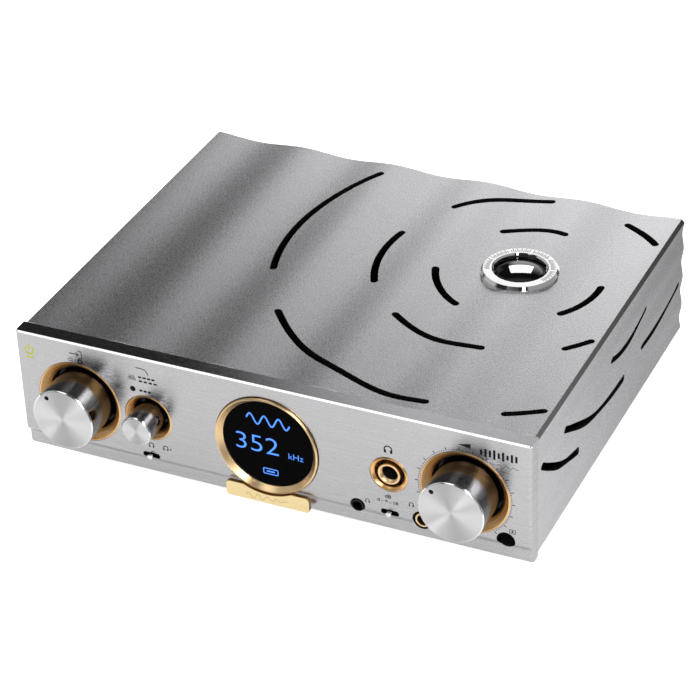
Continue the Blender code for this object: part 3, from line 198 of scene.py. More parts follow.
# Gloss black: the sockets' own colour, and painted shade where it lines recesses in the panel and the trim
# rings.
GLOSS_BLACK = material("gloss_black", (0.004, 0.004, 0.005), 0.15, 0.0, EVEN, 0.10, 0.03, 1, gloss=0.15)
GLASS = material("dark_glass", (0.001, 0.001, 0.0012), 0.03, 0.0, EVEN, 0.05, 0.01, 0.1, gloss=0.02)
LENS_GLASS = material("lens_glass", (0.002, 0.002, 0.0025), 0.03, 0.0, EVEN, 0.05, 0.01, 0.1)
TUBE_GLASS = material("tube_glass", (0.92, 0.94, 0.95), 0.04, 0.0, (300, 300, 300), 0.02, 0.02, 2,
                      transmit=0.9)
RUBBER = material("rubber", (0.022, 0.022, 0.023), 0.75, 0.0, (3000, 3000, 3000), 0.2, 0.1, 30)
BOARD = material("circuit_board", (0.010, 0.050, 0.030), 0.42, 0.0, (900, 900, 900), 0.25, 0.1, 10)
NYLON = material("white_nylon", (0.72, 0.71, 0.67), 0.50, 0.0, EVEN, 0.03, 0.05, 4)
INK = material("black_ink", (0.012, 0.012, 0.016), 0.60, 0.0, EVEN, 0.15, 0.10, 2, gloss=0.1)
ETCH = material("etched_grey", (0.055, 0.055, 0.055), 0.60, 0.0, EVEN, 0.15, 0.10, 2, gloss=0.2)
LIME_INK = material("lime_ink", (0.60, 0.62, 0.01), 0.45, 0.0, EVEN, 0.06, 0.05, 2, gloss=0.2)
LIT = material("display_light", (0.075, 0.23, 0.80), 0.50, 0.0, (9000, 9000, 9000), 0.05, 0.0, 0.0, emit=1.0,
               gloss=0.0)
FINISH_OF_SLOT = {
    "blasted_aluminium": BLASTED, "brushed_aluminium": BRUSHED, "dark_chrome": DARK_CHROME,
    "satin_gold": GOLD, "steel": STEEL, "brass": BRASS, "black_plastic": BLACK, "dark_glass": GLASS,
    "tube_glass": TUBE_GLASS, "rubber": RUBBER, "circuit_board": BOARD, "white_nylon": NYLON,
}


# ---------------------------------------------------------------- mesh functions
def vert(shape, point):
    """Add a vertex to a bmesh, whose own unit is the metre."""
    return shape.verts.new(Vector(point) * MM)


def put(name, shape, finishes, place=(0, 0, 0), sharp=35):
    """Make an object of a bmesh, shaded smooth except at its real edges."""
    bmesh.ops.recalc_face_normals(shape, faces=shape.faces)
    mesh = bpy.data.meshes.new(name)
    shape.to_mesh(mesh)
    shape.free()
    for finish in finishes:
        mesh.materials.append(finish)
    thing = bpy.data.objects.new(name, mesh)
    thing.location = Vector(place) * MM
    SCENE.collection.objects.link(thing)
    soften(thing, sharp)
    return thing


def soften(thing, sharp=35):
    thing.data.shade_smooth()
    thing.data.set_sharp_from_angle(angle=radians(sharp))
    if "even_normals" not in thing.modifiers:
        even = thing.modifiers.new("even_normals", "WEIGHTED_NORMAL")
        even.weight = 100
        even.keep_sharp = True


def stands_for(thing, node_name):
    """The piece replaces a node, on its body."""
    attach(thing, BODY_OF[node_name])
    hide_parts(node_name)


def goes_with(thing, host):
    """The piece is a detail of a node that is shown some other way."""
    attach(thing, BODY_OF[host])


def paint(thing, index, test):
    """Give a finish to the faces whose centre and normal pass the test."""
    for face in thing.data.polygons:
        if test(face.center * PER_METRE, face.normal):
            face.material_index = index


def arc(centre, reach, first, last, steps=24):
    angles = [radians(first + (last - first) * i / steps) for i in range(steps + 1)]
    return [(centre[0] + reach * cos(a), centre[1] + reach * sin(a)) for a in angles]


def rounded(points, closed=False, steps=4):
    """Round an outline's corners."""
    out = []
    last = len(points) - 1
    for i, (u, v, *fillet) in enumerate(points):
        here = Vector((u, v))
        if not fillet or (not closed and i in (0, last)):
            out.append(here)
            continue
        before = (Vector(points[i - 1][:2]) - here).normalized()
        after = (Vector(points[(i + 1) % (last + 1)][:2]) - here).normalized()
        half = before.angle(after) / 2
        centre = here + (before + after).normalized() * (fillet[0] / sin(half))
        first = (here + before * (fillet[0] / tan(half)) - centre).normalized()
        second = (here + after * (fillet[0] / tan(half)) - centre).normalized()
        out += [centre + first.slerp(second, k / steps) * fillet[0] for k in range(steps + 1)]
    return out


def rounded_box(half_x, half_z, corner, steps=4):
    x, z = half_x, half_z
    return rounded([(x, z, corner), (-x, z, corner), (-x, -z, corner), (x, -z, corner)], True, steps)


def face_outline(name, corner, steps=4, grow=0.0):
    """A node's front view as a rounded box about its own middle."""
    low, high = box(name)
    return rounded_box((high.x - low.x) / 2 + grow, (high.z - low.z) / 2 + grow, corner, steps)


def regular(radius, count):
    return arc((0, 0), radius, 0, 360, count)[:-1]


def skin(shape, near, far):
    """Join two closed rings of equal count with faces."""
    for i in range(len(near)):
        j = (i + 1) % len(near)
        shape.faces.new((near[i], near[j], far[j], far[i]))


def turned(name, outline, place, finishes, steps=96, axis="Y"):
    """Revolve an outline about Y or Z. One that never meets the axis closes on itself."""
    closed = outline[0][0] > 0
    points = rounded(outline, closed)
    shape = bmesh.new()
    rings = []
    for reach, along in points:
        ring = []
        for i in range(steps if reach > 0 else 1):
            a, b = reach * cos(2 * pi * i / steps), reach * sin(2 * pi * i / steps)
            ring.append(vert(shape, (a, along, b) if axis == "Y" else (a, b, along)))
        rings.append(ring)
    for near, far in zip(rings, rings[1:] + (rings[:1] if closed else [])):
        for i in range(steps):
            j = (i + 1) % steps
            corners = [near[i % len(near)], near[j % len(near)], far[j % len(far)], far[i % len(far)]]
            shape.faces.new(list(dict.fromkeys(corners)))
    return put(name, shape, finishes, place)


def prism(name, outline, front, back, place, finishes, edge=0.0, axis="Y", steps=3):
    """A flat (across, up) outline between two depths, with its rims eased."""
    shape = bmesh.new()
    rings = []
    for along in (front, back):
        corners = [(u, along, v) if axis == "Y" else (u, v, along) for u, v in outline]
        rings.append([vert(shape, p) for p in corners])
    near, far = rings
    shape.faces.new(near)
    shape.faces.new(far[::-1])
    skin(shape, near, far)
    if edge:
        run = "XYZ".index(axis)
        rims = [e for e in shape.edges if abs(e.verts[0].co[run] - e.verts[1].co[run]) < 0.1 * MICRON]
        bmesh.ops.bevel(shape, geom=rims, offset=edge * MM, segments=steps, profile=0.5, affect="EDGES")
    return put(name, shape, finishes, place)


def merge(name, things, finishes=()):
    """Put several objects' meshes into one object at the origin, and remove them."""
    shape = bmesh.new()
    for thing in things:
        bpy.context.view_layer.update()
        mesh = thing.data.copy()
        mesh.transform(thing.matrix_world)
        shape.from_mesh(mesh)
        bpy.data.objects.remove(thing)
    return put(name, shape, finishes)


def carve(thing, cutters, operation="DIFFERENCE", sharp=35):
    """Cut or join the merged tools for good."""
    tool = merge("tool", cutters)
    step = thing.modifiers.new("carve", "BOOLEAN")
    step.operation = operation
    step.solver = "EXACT"
    step.object = tool
    thing.modifiers.remove(thing.modifiers["even_normals"])
    bpy.context.view_layer.update()
    graph = bpy.context.evaluated_depsgraph_get()
    mesh = bpy.data.meshes.new_from_object(thing.evaluated_get(graph))
    thing.modifiers.clear()
    thing.data = mesh
    bpy.data.objects.remove(tool)
    soften(thing, sharp)


def hole(reach, spot, front, back, steps=96, axis="Y"):
    """A plain cylinder to cut with."""
    return turned("hole", [(0, front), (reach, front), (reach, back), (0, back)], spot, (), steps, axis)


# ---------------------------------------------------------------- case sleeve
TOP_WAVES = 5
TOP_WAVE_DROP = 1.4
SIDE_WAVES = 4
SIDE_WAVE_DROP = 0.8
WAVE_SOFTNESS = 0.50
EDGE_CHAMFER = 1.4
END_EASE = 0.1
BORE_WALL = 3.5
BORE_LOW = 3.5
BORE_ROOF = 4.2
SCREW_BOSS = 6.0
SCREW_HOLE = 1.8
SCREW_HOLE_DEPTH = 10.0
SLOT_WIDTH = 3.1
SLOT_CUT = 7.0
LIP_GAP = 0.12
PLATE_CORNER = 0.6
WINDOW = middle("window_ring")
WINDOW_SEAT = 2.1
SKIN = 0.3
# rings of top slots: (radius, ((first angle, last angle), ...)), in degrees round the window
TOP_SLOTS = (
    (33.4, ((-165.0, -114.5), (76.0, 125.5), (-43.5, 4.5))),
    (57.6, ((166.0, 208.5), (96.5, 140.5), (-126.5, -82.0), (-53.0, -39.5), (40.5, 63.5))),
    (98.1, ((147.0, 199.8), (-142.0, -88.5), (-72.8, -62.8))),
)
# right-side slots: (centre depth, centre height, radius, first angle, last angle)
SIDE_SLOTS = (
    (73.3, 115.9, 99.6, -129.3, -102.5),
    (100.9, 146.0, 125.9, -122.2, -89.0),
    (105.5, 79.7, 45.9, -116.5, -63.0),
    (136.0, 118.0, 97.2, -98.0, -71.0),
)


def ripple(distance, length, drop):
    return drop / 2 * (1 - cos(2 * pi * distance / length))


def sleeve_outline(top_steps=36, side_steps=24):
    """Outer section: waves across the top and down both sides, over a plain underside."""
    top = []
    reach = HALF_WIDTH - EDGE_CHAMFER
    for i in range(TOP_WAVES * top_steps + 1):
        x = -reach + 2 * reach * i / (TOP_WAVES * top_steps)
        top.append((x, TOP - ripple(x + HALF_WIDTH, 2 * HALF_WIDTH / TOP_WAVES, TOP_WAVE_DROP)))
    right = []
    high = TOP - EDGE_CHAMFER
    low = SLEEVE_LOW.z + EDGE_CHAMFER
    for i in range(SIDE_WAVES * side_steps + 1):
        z = high + (low - high) * i / (SIDE_WAVES * side_steps)
        right.append((HALF_WIDTH - ripple(TOP - z, CASE_HEIGHT / SIDE_WAVES, SIDE_WAVE_DROP), z))
    foot = right[-1][0] - EDGE_CHAMFER
    under = [(foot, SLEEVE_LOW.z), (-foot, SLEEVE_LOW.z)]
    return top + right + under + [(-x, z) for x, z in reversed(right)]


def shrunk(outline, amount):
    """The same clockwise outline moved inwards by an amount."""
    out = []
    for i, (x, z) in enumerate(outline):
        ahead = Vector(outline[(i + 1) % len(outline)]) - Vector(outline[i - 1])
        inward = Vector((ahead.y, -ahead.x)).normalized()
        out.append((x + inward.x * amount, z + inward.y * amount))
    return out


def arc_slot(reach, first, last, centre, piece=1.2, cap_steps=8):
    """Outline of a curved slot with half-round ends that reach the two angles, in degrees."""
    half = SLOT_WIDTH / 2
    start = first + degrees(half / reach)
    end = last - degrees(half / reach)
    steps = ceil(radians(end - start) * reach / piece)
    outer = arc(centre, reach + half, start, end, steps)
    inner = arc(centre, reach - half, end, start, steps)
    hubs = arc(centre, reach, start, end, 1)
    far = arc(hubs[1], half, end, end + 180, cap_steps)[1:-1]
    near = arc(hubs[0], half, start + 180, start + 360, cap_steps)[1:-1]
    return outer + far + inner + near


def sleeve_tube(outline, front, back):
    """The extrusion, with its screw bosses inside and its two ends closed by flat rims."""
    shape = bmesh.new()
    x, low, high, boss = HALF_WIDTH - BORE_WALL, UNDER + BORE_LOW, TOP - BORE_ROOF, SCREW_BOSS
    half = [(x - boss, low), (x - boss, low + boss), (x, low + boss)]
    half += [(x, high - boss), (x - boss, high - boss), (x - boss, high)]
    bore = half + [(-a, b) for a, b in reversed(half)]
    eased = shrunk(outline, END_EASE)
    stations = ((eased, front), (outline, front + END_EASE), (outline, back - END_EASE), (eased, back))
    rings = [[vert(shape, (u, y, v)) for u, v in section] for section, y in stations]
    inside = [[vert(shape, (u, y, v)) for u, v in bore] for y in (front, back)]
    for near, far in list(zip(rings, rings[1:])) + [tuple(inside)]:
        skin(shape, near, far)
    for outer, inner in ((rings[0], inside[0]), (rings[-1], inside[1])):
        rim = []
        for loop in (outer, inner):
            rim += [shape.edges.get((loop[i - 1], loop[i])) for i in range(len(loop))]
        bmesh.ops.triangle_fill(shape, use_beauty=True, use_dissolve=False, edges=rim)
    return put("sleeve_shell", shape, (BLASTED, CAVITY, CUT_EDGE), sharp=30)


def case_sleeve():
    front, back = SLEEVE_LOW.y, REAR
    sleeve = sleeve_tube(sleeve_outline(), front, back)
    centre = (WINDOW.x, WINDOW.y)
    cutters = [hole(radius_of("window_ring") - WINDOW_SEAT, (*centre, 0), TOP - 8, TOP + THROUGH, 96, "Z")]
    for reach, spans in TOP_SLOTS:
        for first, last in spans:
            slot = arc_slot(reach, first, last, centre)
            cutters.append(prism("slot", slot, TOP - SLOT_CUT + 1, TOP + 1, (0, 0, 0), (), axis="Z"))
    for depth, height, reach, first, last in SIDE_SLOTS:
        slot = arc_slot(reach, first, last, (FRONT + depth, UNDER + height))
        wall = (HALF_WIDTH - BORE_WALL / 2, 0, 0)
        side = prism("slot", slot, -SLOT_CUT / 2, SLOT_CUT / 2, wall, (), axis="Z")
        side.rotation_euler = (pi / 2, 0, pi / 2)
        cutters.append(side)
    for screw in range(1, 5):
        spot = on_plane(f"rear_screw_{screw}", 0)
        cutters.append(hole(SCREW_HOLE, spot, back - SCREW_HOLE_DEPTH, back + 1, 24))
    seat = face_outline("rear_panel", PLATE_CORNER + LIP_GAP, grow=LIP_GAP)
    cutters.append(prism("seat", seat, SLEEVE_HIGH.y, back + 1, on_plane("rear_panel", 0), ()))
    carve(sleeve, cutters, sharp=30)

    # Painted shade: the faces inside the tube and the slots' walls get the near-black finish, so the slots
    # look dark.
    def painted_shade_faces(spot, normal):
        inside_x = abs(spot.x) < HALF_WIDTH - SIDE_WAVE_DROP - SKIN
        inside_z = SLEEVE_LOW.z + SKIN < spot.z < TOP - TOP_WAVE_DROP - SKIN
        off_outline = abs(normal.y) < 0.9 and inside_x and inside_z
        upright = abs(normal.z) < 0.3 and abs(normal.x) + abs(normal.y) > 0.9
        slot_wall = upright and abs(spot.x) < HALF_WIDTH - BORE_WALL + 0.4
        return off_outline or (slot_wall and abs(spot.y - front) > 1 and abs(spot.y - back) > 1)

    paint(sleeve, 1, painted_shade_faces)
    paint(sleeve, 2, lambda spot, n: abs(n.y) < 0.1 and 0.6 < abs(n.x) < 0.8 and 0.6 < abs(n.z) < 0.8
          and abs(spot.x) > HALF_WIDTH - EDGE_CHAMFER - SIDE_WAVE_DROP)
    ripple_normals(sleeve)
    stands_for(sleeve, "case_sleeve")


def ripple_slope(distance, length, drop):
    return WAVE_SOFTNESS * pi * drop / length * sin(2 * pi * distance / length)


def ripple_normals(sleeve):
    """Shade the waves by their formula, so that the cuts leave no mark on them."""
    sleeve.modifiers.clear()
    mesh = sleeve.data
    normals = [Vector()] * len(mesh.loops)
    top_floor = TOP - TOP_WAVE_DROP - SKIN
    side_floor = HALF_WIDTH - SIDE_WAVE_DROP - SKIN
    for face in mesh.polygons:
        centre = face.center * PER_METRE
        on_top = face.normal.z > 0.95 and centre.z > top_floor
        on_side = abs(face.normal.x) > 0.95 and abs(centre.x) > side_floor
        for corner in face.loop_indices:
            spot = mesh.vertices[mesh.loops[corner].vertex_index].co * PER_METRE
            normal = face.normal
            if on_top:
                slope = ripple_slope(spot.x + HALF_WIDTH, 2 * HALF_WIDTH / TOP_WAVES, TOP_WAVE_DROP)
                normal = Vector((slope, 0, 1)).normalized()
            elif on_side:
                side = 1 if centre.x > 0 else -1
                slope = ripple_slope(TOP - spot.z, CASE_HEIGHT / SIDE_WAVES, SIDE_WAVE_DROP)
                normal = Vector((side, 0, -slope)).normalized()
            normals[corner] = normal
    mesh.normals_split_custom_set(normals)


# ---------------------------------------------------------------- front panel
LIP_TOP = 9.0
LIP_BOTTOM = 5.2
LIP_SETBACK = 2.0
TOP_CHAMFER = 0.6
END_ROUND = 1.0
LEVERS = ("mode_switch_lever", "gain_switch_lever")
SWITCH_SLOT = (7.4, 2.5)
SWITCH_POCKET = (14.0, 6.8)
SWITCH_WEB = 2.0
MINI_NOSE = 2.75
BALANCED_NOSE = 3.8
BUSH_HOLE = 5.0


def panel_section(shift, steps=14):
    """(depth, height) outline of the panel: chamfer, main face, soft step back, rounded lower edge."""
    step = []
    for i in range(steps + 1):
        share = i / steps
        step.append((LIP_SETBACK * (1 - cos(pi * share)) / 2, LIP_TOP + (LIP_BOTTOM - LIP_TOP) * share))
    lower = rounded([(LIP_SETBACK, LIP_BOTTOM), (LIP_SETBACK, 0, END_ROUND), (PANEL_DEPTH, 0)], steps=5)[1:-1]
    front = [(TOP_CHAMFER, CASE_HEIGHT), (0, CASE_HEIGHT - TOP_CHAMFER)] + step + [tuple(p) for p in lower]
    back = [(PANEL_DEPTH, 0), (PANEL_DEPTH, CASE_HEIGHT)]
    return [(depth + shift, height) for depth, height in front] + back


def panel_plate():
    """The plate, lofted from end to end with its two ends rounded."""
    turns = [pi / 2 * i / 5 for i in range(6)]
    ends = [(HALF_WIDTH - END_ROUND * (1 - sin(t)), END_ROUND * (1 - cos(t))) for t in turns]
    shape = bmesh.new()
    rings = []
    for x, shift in [(-x, shift) for x, shift in reversed(ends)] + ends:
        section = panel_section(shift)
        rings.append([vert(shape, (x, FRONT + depth, UNDER + height)) for depth, height in section])
    for near, far in zip(rings, rings[1:]):
        skin(shape, near, far)
    shape.faces.new(rings[0])
    shape.faces.new(rings[-1][::-1])
    return put("front_plate", shape, (BRUSHED, POLISHED, CROWN, GLOSS_BLACK), sharp=28)


def front_panel():
    panel = panel_plate()
    ahead, back = FRONT - THROUGH, FRONT + PANEL_DEPTH + THROUGH
    cutters = []
    for ring in ("input_trim_ring", "filter_trim_ring", "volume_trim_ring", "display_bezel", "remote_lens"):
        cutters.append(hole(radius_of(ring) + GAP, on_plane(ring, 0), ahead, back))
    phone = "phone_socket_trim"
    cutters.append(hole(radius_of(phone) + GAP, on_plane(phone, 0), ahead, box(phone)[1].y + GAP))
    for name, reach in (("mini_socket", MINI_NOSE), ("balanced_socket", BALANCED_NOSE)):
        cutters.append(hole(reach + GAP, on_plane(name, 0), ahead, back))
    half_x, half_z = SWITCH_SLOT[0] / 2, SWITCH_SLOT[1] / 2
    slot = rounded_box(half_x, half_z, half_z * 0.98, 10)
    for lever in LEVERS:
        cutters.append(prism("slot", slot, ahead, FRONT + SWITCH_WEB + 1, on_plane(lever, 0), ()))
    carve(panel, cutters, sharp=28)
    pockets = [hole(BUSH_HOLE, on_plane(phone, 0), ahead, back)]
    pocket = rounded_box(SWITCH_POCKET[0] / 2, SWITCH_POCKET[1] / 2, 0.3)
    for lever in LEVERS:
        pockets.append(prism("pocket", pocket, FRONT + SWITCH_WEB, back, on_plane(lever, 0), ()))
    carve(panel, pockets, sharp=28)
    edge = TOP - TOP_CHAMFER
    seat = on_plane(phone)
    reach = radius_of(phone) + 0.5

    def in_slot(spot):
        gaps = [spot - middle(lever) for lever in LEVERS]
        return any(abs(gap.x) < half_x + 0.2 and abs(gap.z) < half_z + 0.2 for gap in gaps)

    paint(panel, 1, lambda spot, n: spot.z > edge - 0.1 and n.y < -0.3 and n.z > 0.3)
    paint(panel, 2, lambda spot, n: n.z > 0.95 and spot.z > edge)
    # Painted shade: gloss black on the switch slots' walls and on the headphone socket's seat.
    paint(panel, 3, lambda spot, n: spot.y > FRONT + 0.4 and abs(n.y) < 0.3 and in_slot(spot))
    paint(panel, 3, lambda spot, n: spot.y > FRONT + 1 and (spot - seat).xz.length < reach)
    stands_for(panel, "front_panel")


# ---------------------------------------------------------------- printed marks
FILM = 0.02


def stroke(points, width, closed=False):
    """A line of even width through 2D points, as a list of four-cornered patches."""
    points = [Vector(p) for p in points]
    count = len(points)
    sides = []
    for i, here in enumerate(points):
        before = points[i - 1] if closed or i > 0 else here
        after = points[(i + 1) % count] if closed or i < count - 1 else here
        along = (here - before).normalized() + (after - here).normalized()
        along.normalize()
        across = Vector((-along.y, along.x))
        straight = (after - here if after != here else here - before).normalized()
        share = max(abs(along.dot(straight)), 0.5)
        sides.append((here + across * width / 2 / share, here - across * width / 2 / share))
    pairs = list(zip(sides, sides[1:] + (sides[:1] if closed else [])))
    if not closed:
        pairs = pairs[:count - 1]
    return [[a[0], b[0], b[1], a[1]] for a, b in pairs]


def ring_mark(centre, reach, width, steps=28):
    return stroke(arc(centre, reach, 0, 360, steps)[:-1], width, True)


def disc(centre, reach, steps=24):
    return [arc(centre, reach, 0, 360, steps)[:-1]]


def bar(centre, width, height):
    x, z = centre
    a, b = width / 2, height / 2
    return [[(x - a, z - b), (x + a, z - b), (x + a, z + b), (x - a, z + b)]]


def printed(name, patches, level, finish, thickness=FILM, axis="Y", centre=(0, 0)):
    """Raise a set of flat patches by a film's thickness above a front face or a top face."""
    shape = bmesh.new()
    for patch in patches:
        ring = [(centre[0] + p[0], centre[1] + p[1]) for p in patch]
        flat = [(u, level, v) if axis == "Y" else (u, v, level) for u, v in ring]
        shape.faces.new([vert(shape, p) for p in flat])
    bmesh.ops.remove_doubles(shape, verts=shape.verts, dist=0.5 * MICRON)
    raised = bmesh.ops.extrude_face_region(shape, geom=shape.faces[:])
    move = Vector((0, -thickness, 0)) if axis == "Y" else Vector((0, 0, thickness))
    tops = [e for e in raised["geom"] if isinstance(e, bmesh.types.BMVert)]
    bmesh.ops.translate(shape, verts=tops, vec=move * MM)
    return put(name, shape, (finish,))


def lettering(name, text, fit, centre, level, finish, weight=0.0):
    """Plain numbers or a unit, scaled to fit a width and height and centred on (x, z)."""
    face = bpy.data.curves.new(name, "FONT")
    face.body = text
    face.extrude = 0.01
    face.offset = weight
    face.resolution_u = 6
    guide = bpy.data.objects.new(name + "_guide", face)
    SCENE.collection.objects.link(guide)
    bpy.context.view_layer.update()
    graph = bpy.context.evaluated_depsgraph_get()
    mesh = bpy.data.meshes.new_from_object(guide.evaluated_get(graph))
    bpy.data.objects.remove(guide)
    mesh.materials.clear()
    mesh.materials.append(finish)
    xs = [v.co.x for v in mesh.vertices]
    ys = [v.co.y for v in mesh.vertices]
    scale = (fit[0] / (max(xs) - min(xs)), fit[1] / (max(ys) - min(ys)))
    shift = ((max(xs) + min(xs)) / 2, (max(ys) + min(ys)) / 2)
    for vertex in mesh.vertices:
        across, up = ((vertex.co[i] - shift[i]) * scale[i] + centre[i] for i in (0, 1))
        depth = level - FILM if vertex.co.z > 0 else level
        vertex.co = Vector((across, depth, up)) * MM
    thing = bpy.data.objects.new(name, mesh)
    SCENE.collection.objects.link(thing)
    soften(thing)
    return thing


def headphones(centre, size):
    """A headband arc with two ear cups, about as wide as it is high."""
    x, z = centre
    marks = stroke(arc((x, z), size * 0.42, 0, 180), size * 0.14)
    for side in (-1, 1):
        marks += stroke([(x + side * size * 0.42, z), (x + side * size * 0.42, z - size * 0.12)], size * 0.14)
        marks += bar((x + side * size * 0.35, z - size * 0.26), size * 0.25, size * 0.40)
    return marks


def volume_scale(centre, start=-137.0, sweep=278.0, majors=18, minors=4):
    """Long strokes with small dots between each pair, round the volume dial."""
    marks = []
    inner, outer = 18.3, 19.8
    for i in range((majors - 1) * (minors + 1) + 1):
        angle = radians(90 - start - sweep * i / (minors + 1) / (majors - 1))
        spoke = Vector((cos(angle), sin(angle)))
        if i % (minors + 1):
            marks += disc(centre + spoke * (inner + 0.2), 0.23, 8)
        else:
            marks += stroke([centre + spoke * inner, centre + spoke * outer], 0.34)
    return marks


# signs by the two left knobs: (stroke width, points from the knob's axis)
ARROW_AND_BRACKET = (
    (0.34, ((-2.6, 22.0), (1.4, 22.0))),
    (0.34, ((0.3, 23.0), (1.4, 22.0), (0.3, 21.0))),
    (0.34, ((1.2, 23.6), (2.8, 23.6), (2.8, 20.4), (1.2, 20.4))),
)
SLASH = ((0.16, ((-0.4, 18.1), (0.2, 19.8))),)
FALLING_CURVE = ((0.34, ((-3.6, 22.2), (-1.0, 22.2), (0.3, 21.8), (1.0, 20.9), (1.6, 19.8))),)
RING_CLUSTER = ((-6.4, 17.8), (-5.1, 17.8), (-5.8, 16.7), (-4.6, 16.7), (-6.9, 16.8))
# rows of rules by the filter knob: (count, first centre, pitch, size)
RULES = (
    (4, (-2.2, 18.1), 1.9, (1.4, 0.8)), (4, (-2.0, 16.3), 2.1, (1.4, 0.8)),
    (3, (-2.2, 12.0), 1.8, (1.3, 0.9)),
)
BAR_HEIGHTS = (2.2, 3.6, 3.0, 4.2, 2.6, 3.8, 2.0, 3.4, 2.8)
# headphone signs: (node, offset from its middle, size)
HEADPHONE_SIGNS = (
    ("phone_socket_trim", (0, 11.3), 3.6), ("mode_switch_lever", (0.3, 4.8), 2.4),
    ("mode_switch_lever", (6.5, 4.8), 2.4), ("mini_socket", (4.1, 3.1), 1.9),
    ("gain_switch_lever", (8.8, 6.1), 2.1),
)


def flat_place(name, offset=(0, 0)):
    """A node's middle as seen from the front, plus an offset."""
    spot = middle(name)
    return Vector((spot.x + offset[0], spot.z + offset[1]))


def lines(hub, table):
    marks = []
    for width, points in table:
        marks += stroke([hub + Vector(p) for p in points], width)
    return marks


def input_marks(hub):
    """An arrow into a bracket, over a small sun, a slash and a ring."""
    sun = hub + Vector((-2.2, 19.0))
    marks = lines(hub, ARROW_AND_BRACKET) + ring_mark(sun, 0.7, 0.18)
    for i in range(8):
        spoke = Vector((cos(pi * i / 4), sin(pi * i / 4)))
        marks += stroke([sun + spoke * 0.9, sun + spoke * 1.2], 0.16)
    return marks + lines(hub, SLASH) + ring_mark(hub + Vector((1.9, 18.9)), 0.85, 0.65)


def filter_marks(hub):
    """A falling curve, over a cluster of rings and a dark dot with plain rules beside them."""
    marks = lines(hub, FALLING_CURVE)
    for offset in RING_CLUSTER:
        marks += ring_mark(hub + Vector(offset), 0.48, 0.20, 14)
    marks += disc(hub + Vector((-5.7, 12.1)), 1.2)
    for count, first, pitch, size in RULES:
        for i in range(count):
            marks += bar(hub + Vector((first[0] + i * pitch, first[1])), *size)
    return marks


def panel_marks():
    """The print on the front: plain signs and numbers only."""
    dial = flat_place("volume_knob")
    marks = volume_scale(dial)
    for name, offset, size in HEADPHONE_SIGNS:
        marks += headphones(flat_place(name, offset), size)
    x, z = dial.x, TOP - 5.8
    marks += [[(x - 2.5, z), (x + 2.5, z - 0.9), (x + 2.5, z + 1.2)]]
    for i, height in enumerate(BAR_HEIGHTS):
        marks += bar((x + 6.6 + i * 1.7, TOP - 7.0), 0.9, height)
    swell = [(x + 10.0 + i * 0.28, TOP - 11.3 + 0.9 * sin(i * 0.62) * sin(pi * i / 40)) for i in range(41)]
    marks += stroke(swell, 0.16)
    remote = flat_place("remote_lens", (2.6, 4.7))
    marks += stroke([remote + p for p in rounded_box(1.1, 0.9, 0.2)], 0.22, True) + disc(remote, 0.45, 10)
    marks += input_marks(flat_place("input_knob")) + filter_marks(flat_place("filter_knob"))
    plus = flat_place("mode_switch_lever", (8.6, 4.7))
    for reach in (Vector((0.5, 0)), Vector((0, 0.5))):
        marks += stroke([plus - reach, plus + reach], 0.22)
    goes_with(printed("panel_marks", marks, FRONT, INK), "front_panel")
    for name, text, fit, offset in (
        ("gain_numbers", "0 - 9 - 18", (8.4, 1.4), (-0.8, 4.9)), ("gain_unit", "dB", (2.6, 1.6), (-0.6, 7.3)),
    ):
        sign = lettering(name, text, fit, flat_place("gain_switch_lever", offset), FRONT, INK, 0.02)
        goes_with(sign, "front_panel")
    # a plain on-off sign in the corner
    x, z = -HALF_WIDTH + 5.5, TOP - 7.8
    sign = stroke(arc((x, z), 1.7, 125, 415, 30), 0.65) + stroke([(x, z + 0.3), (x, z + 2.7)], 0.65)
    sign += bar((x, z - 3.2), 3.4, 0.65)
    goes_with(printed("power_sign", sign, FRONT, LIME_INK), "front_panel")


# ---------------------------------------------------------------- top window
RING_MARKS = 66
RING_MARK_PITCH = 3.6
RING_MARK_WORD = 11


def top_window():
    """A raised chrome ring with a flat top, marked with fine strokes, round a domed dark lens."""
    outer = radius_of("window_ring")
    bore = radius_of("window_lens") + GAP
    low, proud = [corner.z for corner in box("window_ring")]
    seat, crown = [corner.z for corner in box("window_lens")]
    place = Vector((WINDOW.x, WINDOW.y, 0))
    barrel = outer - 2.4
    rim = TOP - 1.6
    outline = [
        (bore + 0.5, proud, 0.2), (outer - 0.9, proud, 0.1), (outer, proud - 1.4, 0.4), (outer, rim, 0.2),
        (barrel, rim), (barrel, low), (bore - 1.0, low), (bore - 1.0, seat - GAP), (bore, seat - GAP),
        (bore, proud - 0.7),
    ]
    ring = turned("window_bezel", outline, place, (CHROME, POLISHED), 128, "Z")
    paint(ring, 1, lambda spot, n: n.z > 0.99 and spot.z > proud - 0.1)
    stands_for(ring, "window_ring")
    edge = bore - 0.4
    bulge = [(edge * sin(radians(a)), rim + (crown - rim) * cos(radians(a))) for a in range(0, 91, 6)]
    bulge += [(edge, seat, 0.2), (0, seat)]
    stands_for(turned("window_dome", bulge, place, (LENS_GLASS,), 96, "Z"), "window_lens")
    strokes = []
    inner, outer = bore + 1.3, outer - 1.2
    for step in range(RING_MARKS):
        angle = radians(205 - step * RING_MARK_PITCH)
        if step % RING_MARK_WORD == RING_MARK_WORD - 1:
            continue
        spoke = Vector((cos(angle), sin(angle)))
        strokes += stroke([spoke * inner, spoke * (outer if step % 2 else outer - 0.7)], 0.30)
    marks = printed("window_marks", strokes, proud, ETCH, axis="Z", centre=WINDOW)
    goes_with(marks, "window_ring")


# ---------------------------------------------------------------- dials
GAP_COVER = 0.26
CUP_RADIUS = 4.3
CUP_FLOOR = 5.4
DIMPLE_RADIUS = 0.95
DIMPLE_DEPTH = 0.6
# trim rings: (knob, how far the first dish reaches in, its depth)
TRIM_RINGS = (("input", 2.3, 1.6), ("volume", 2.3, 1.6), ("filter", 1.6, 1.3))
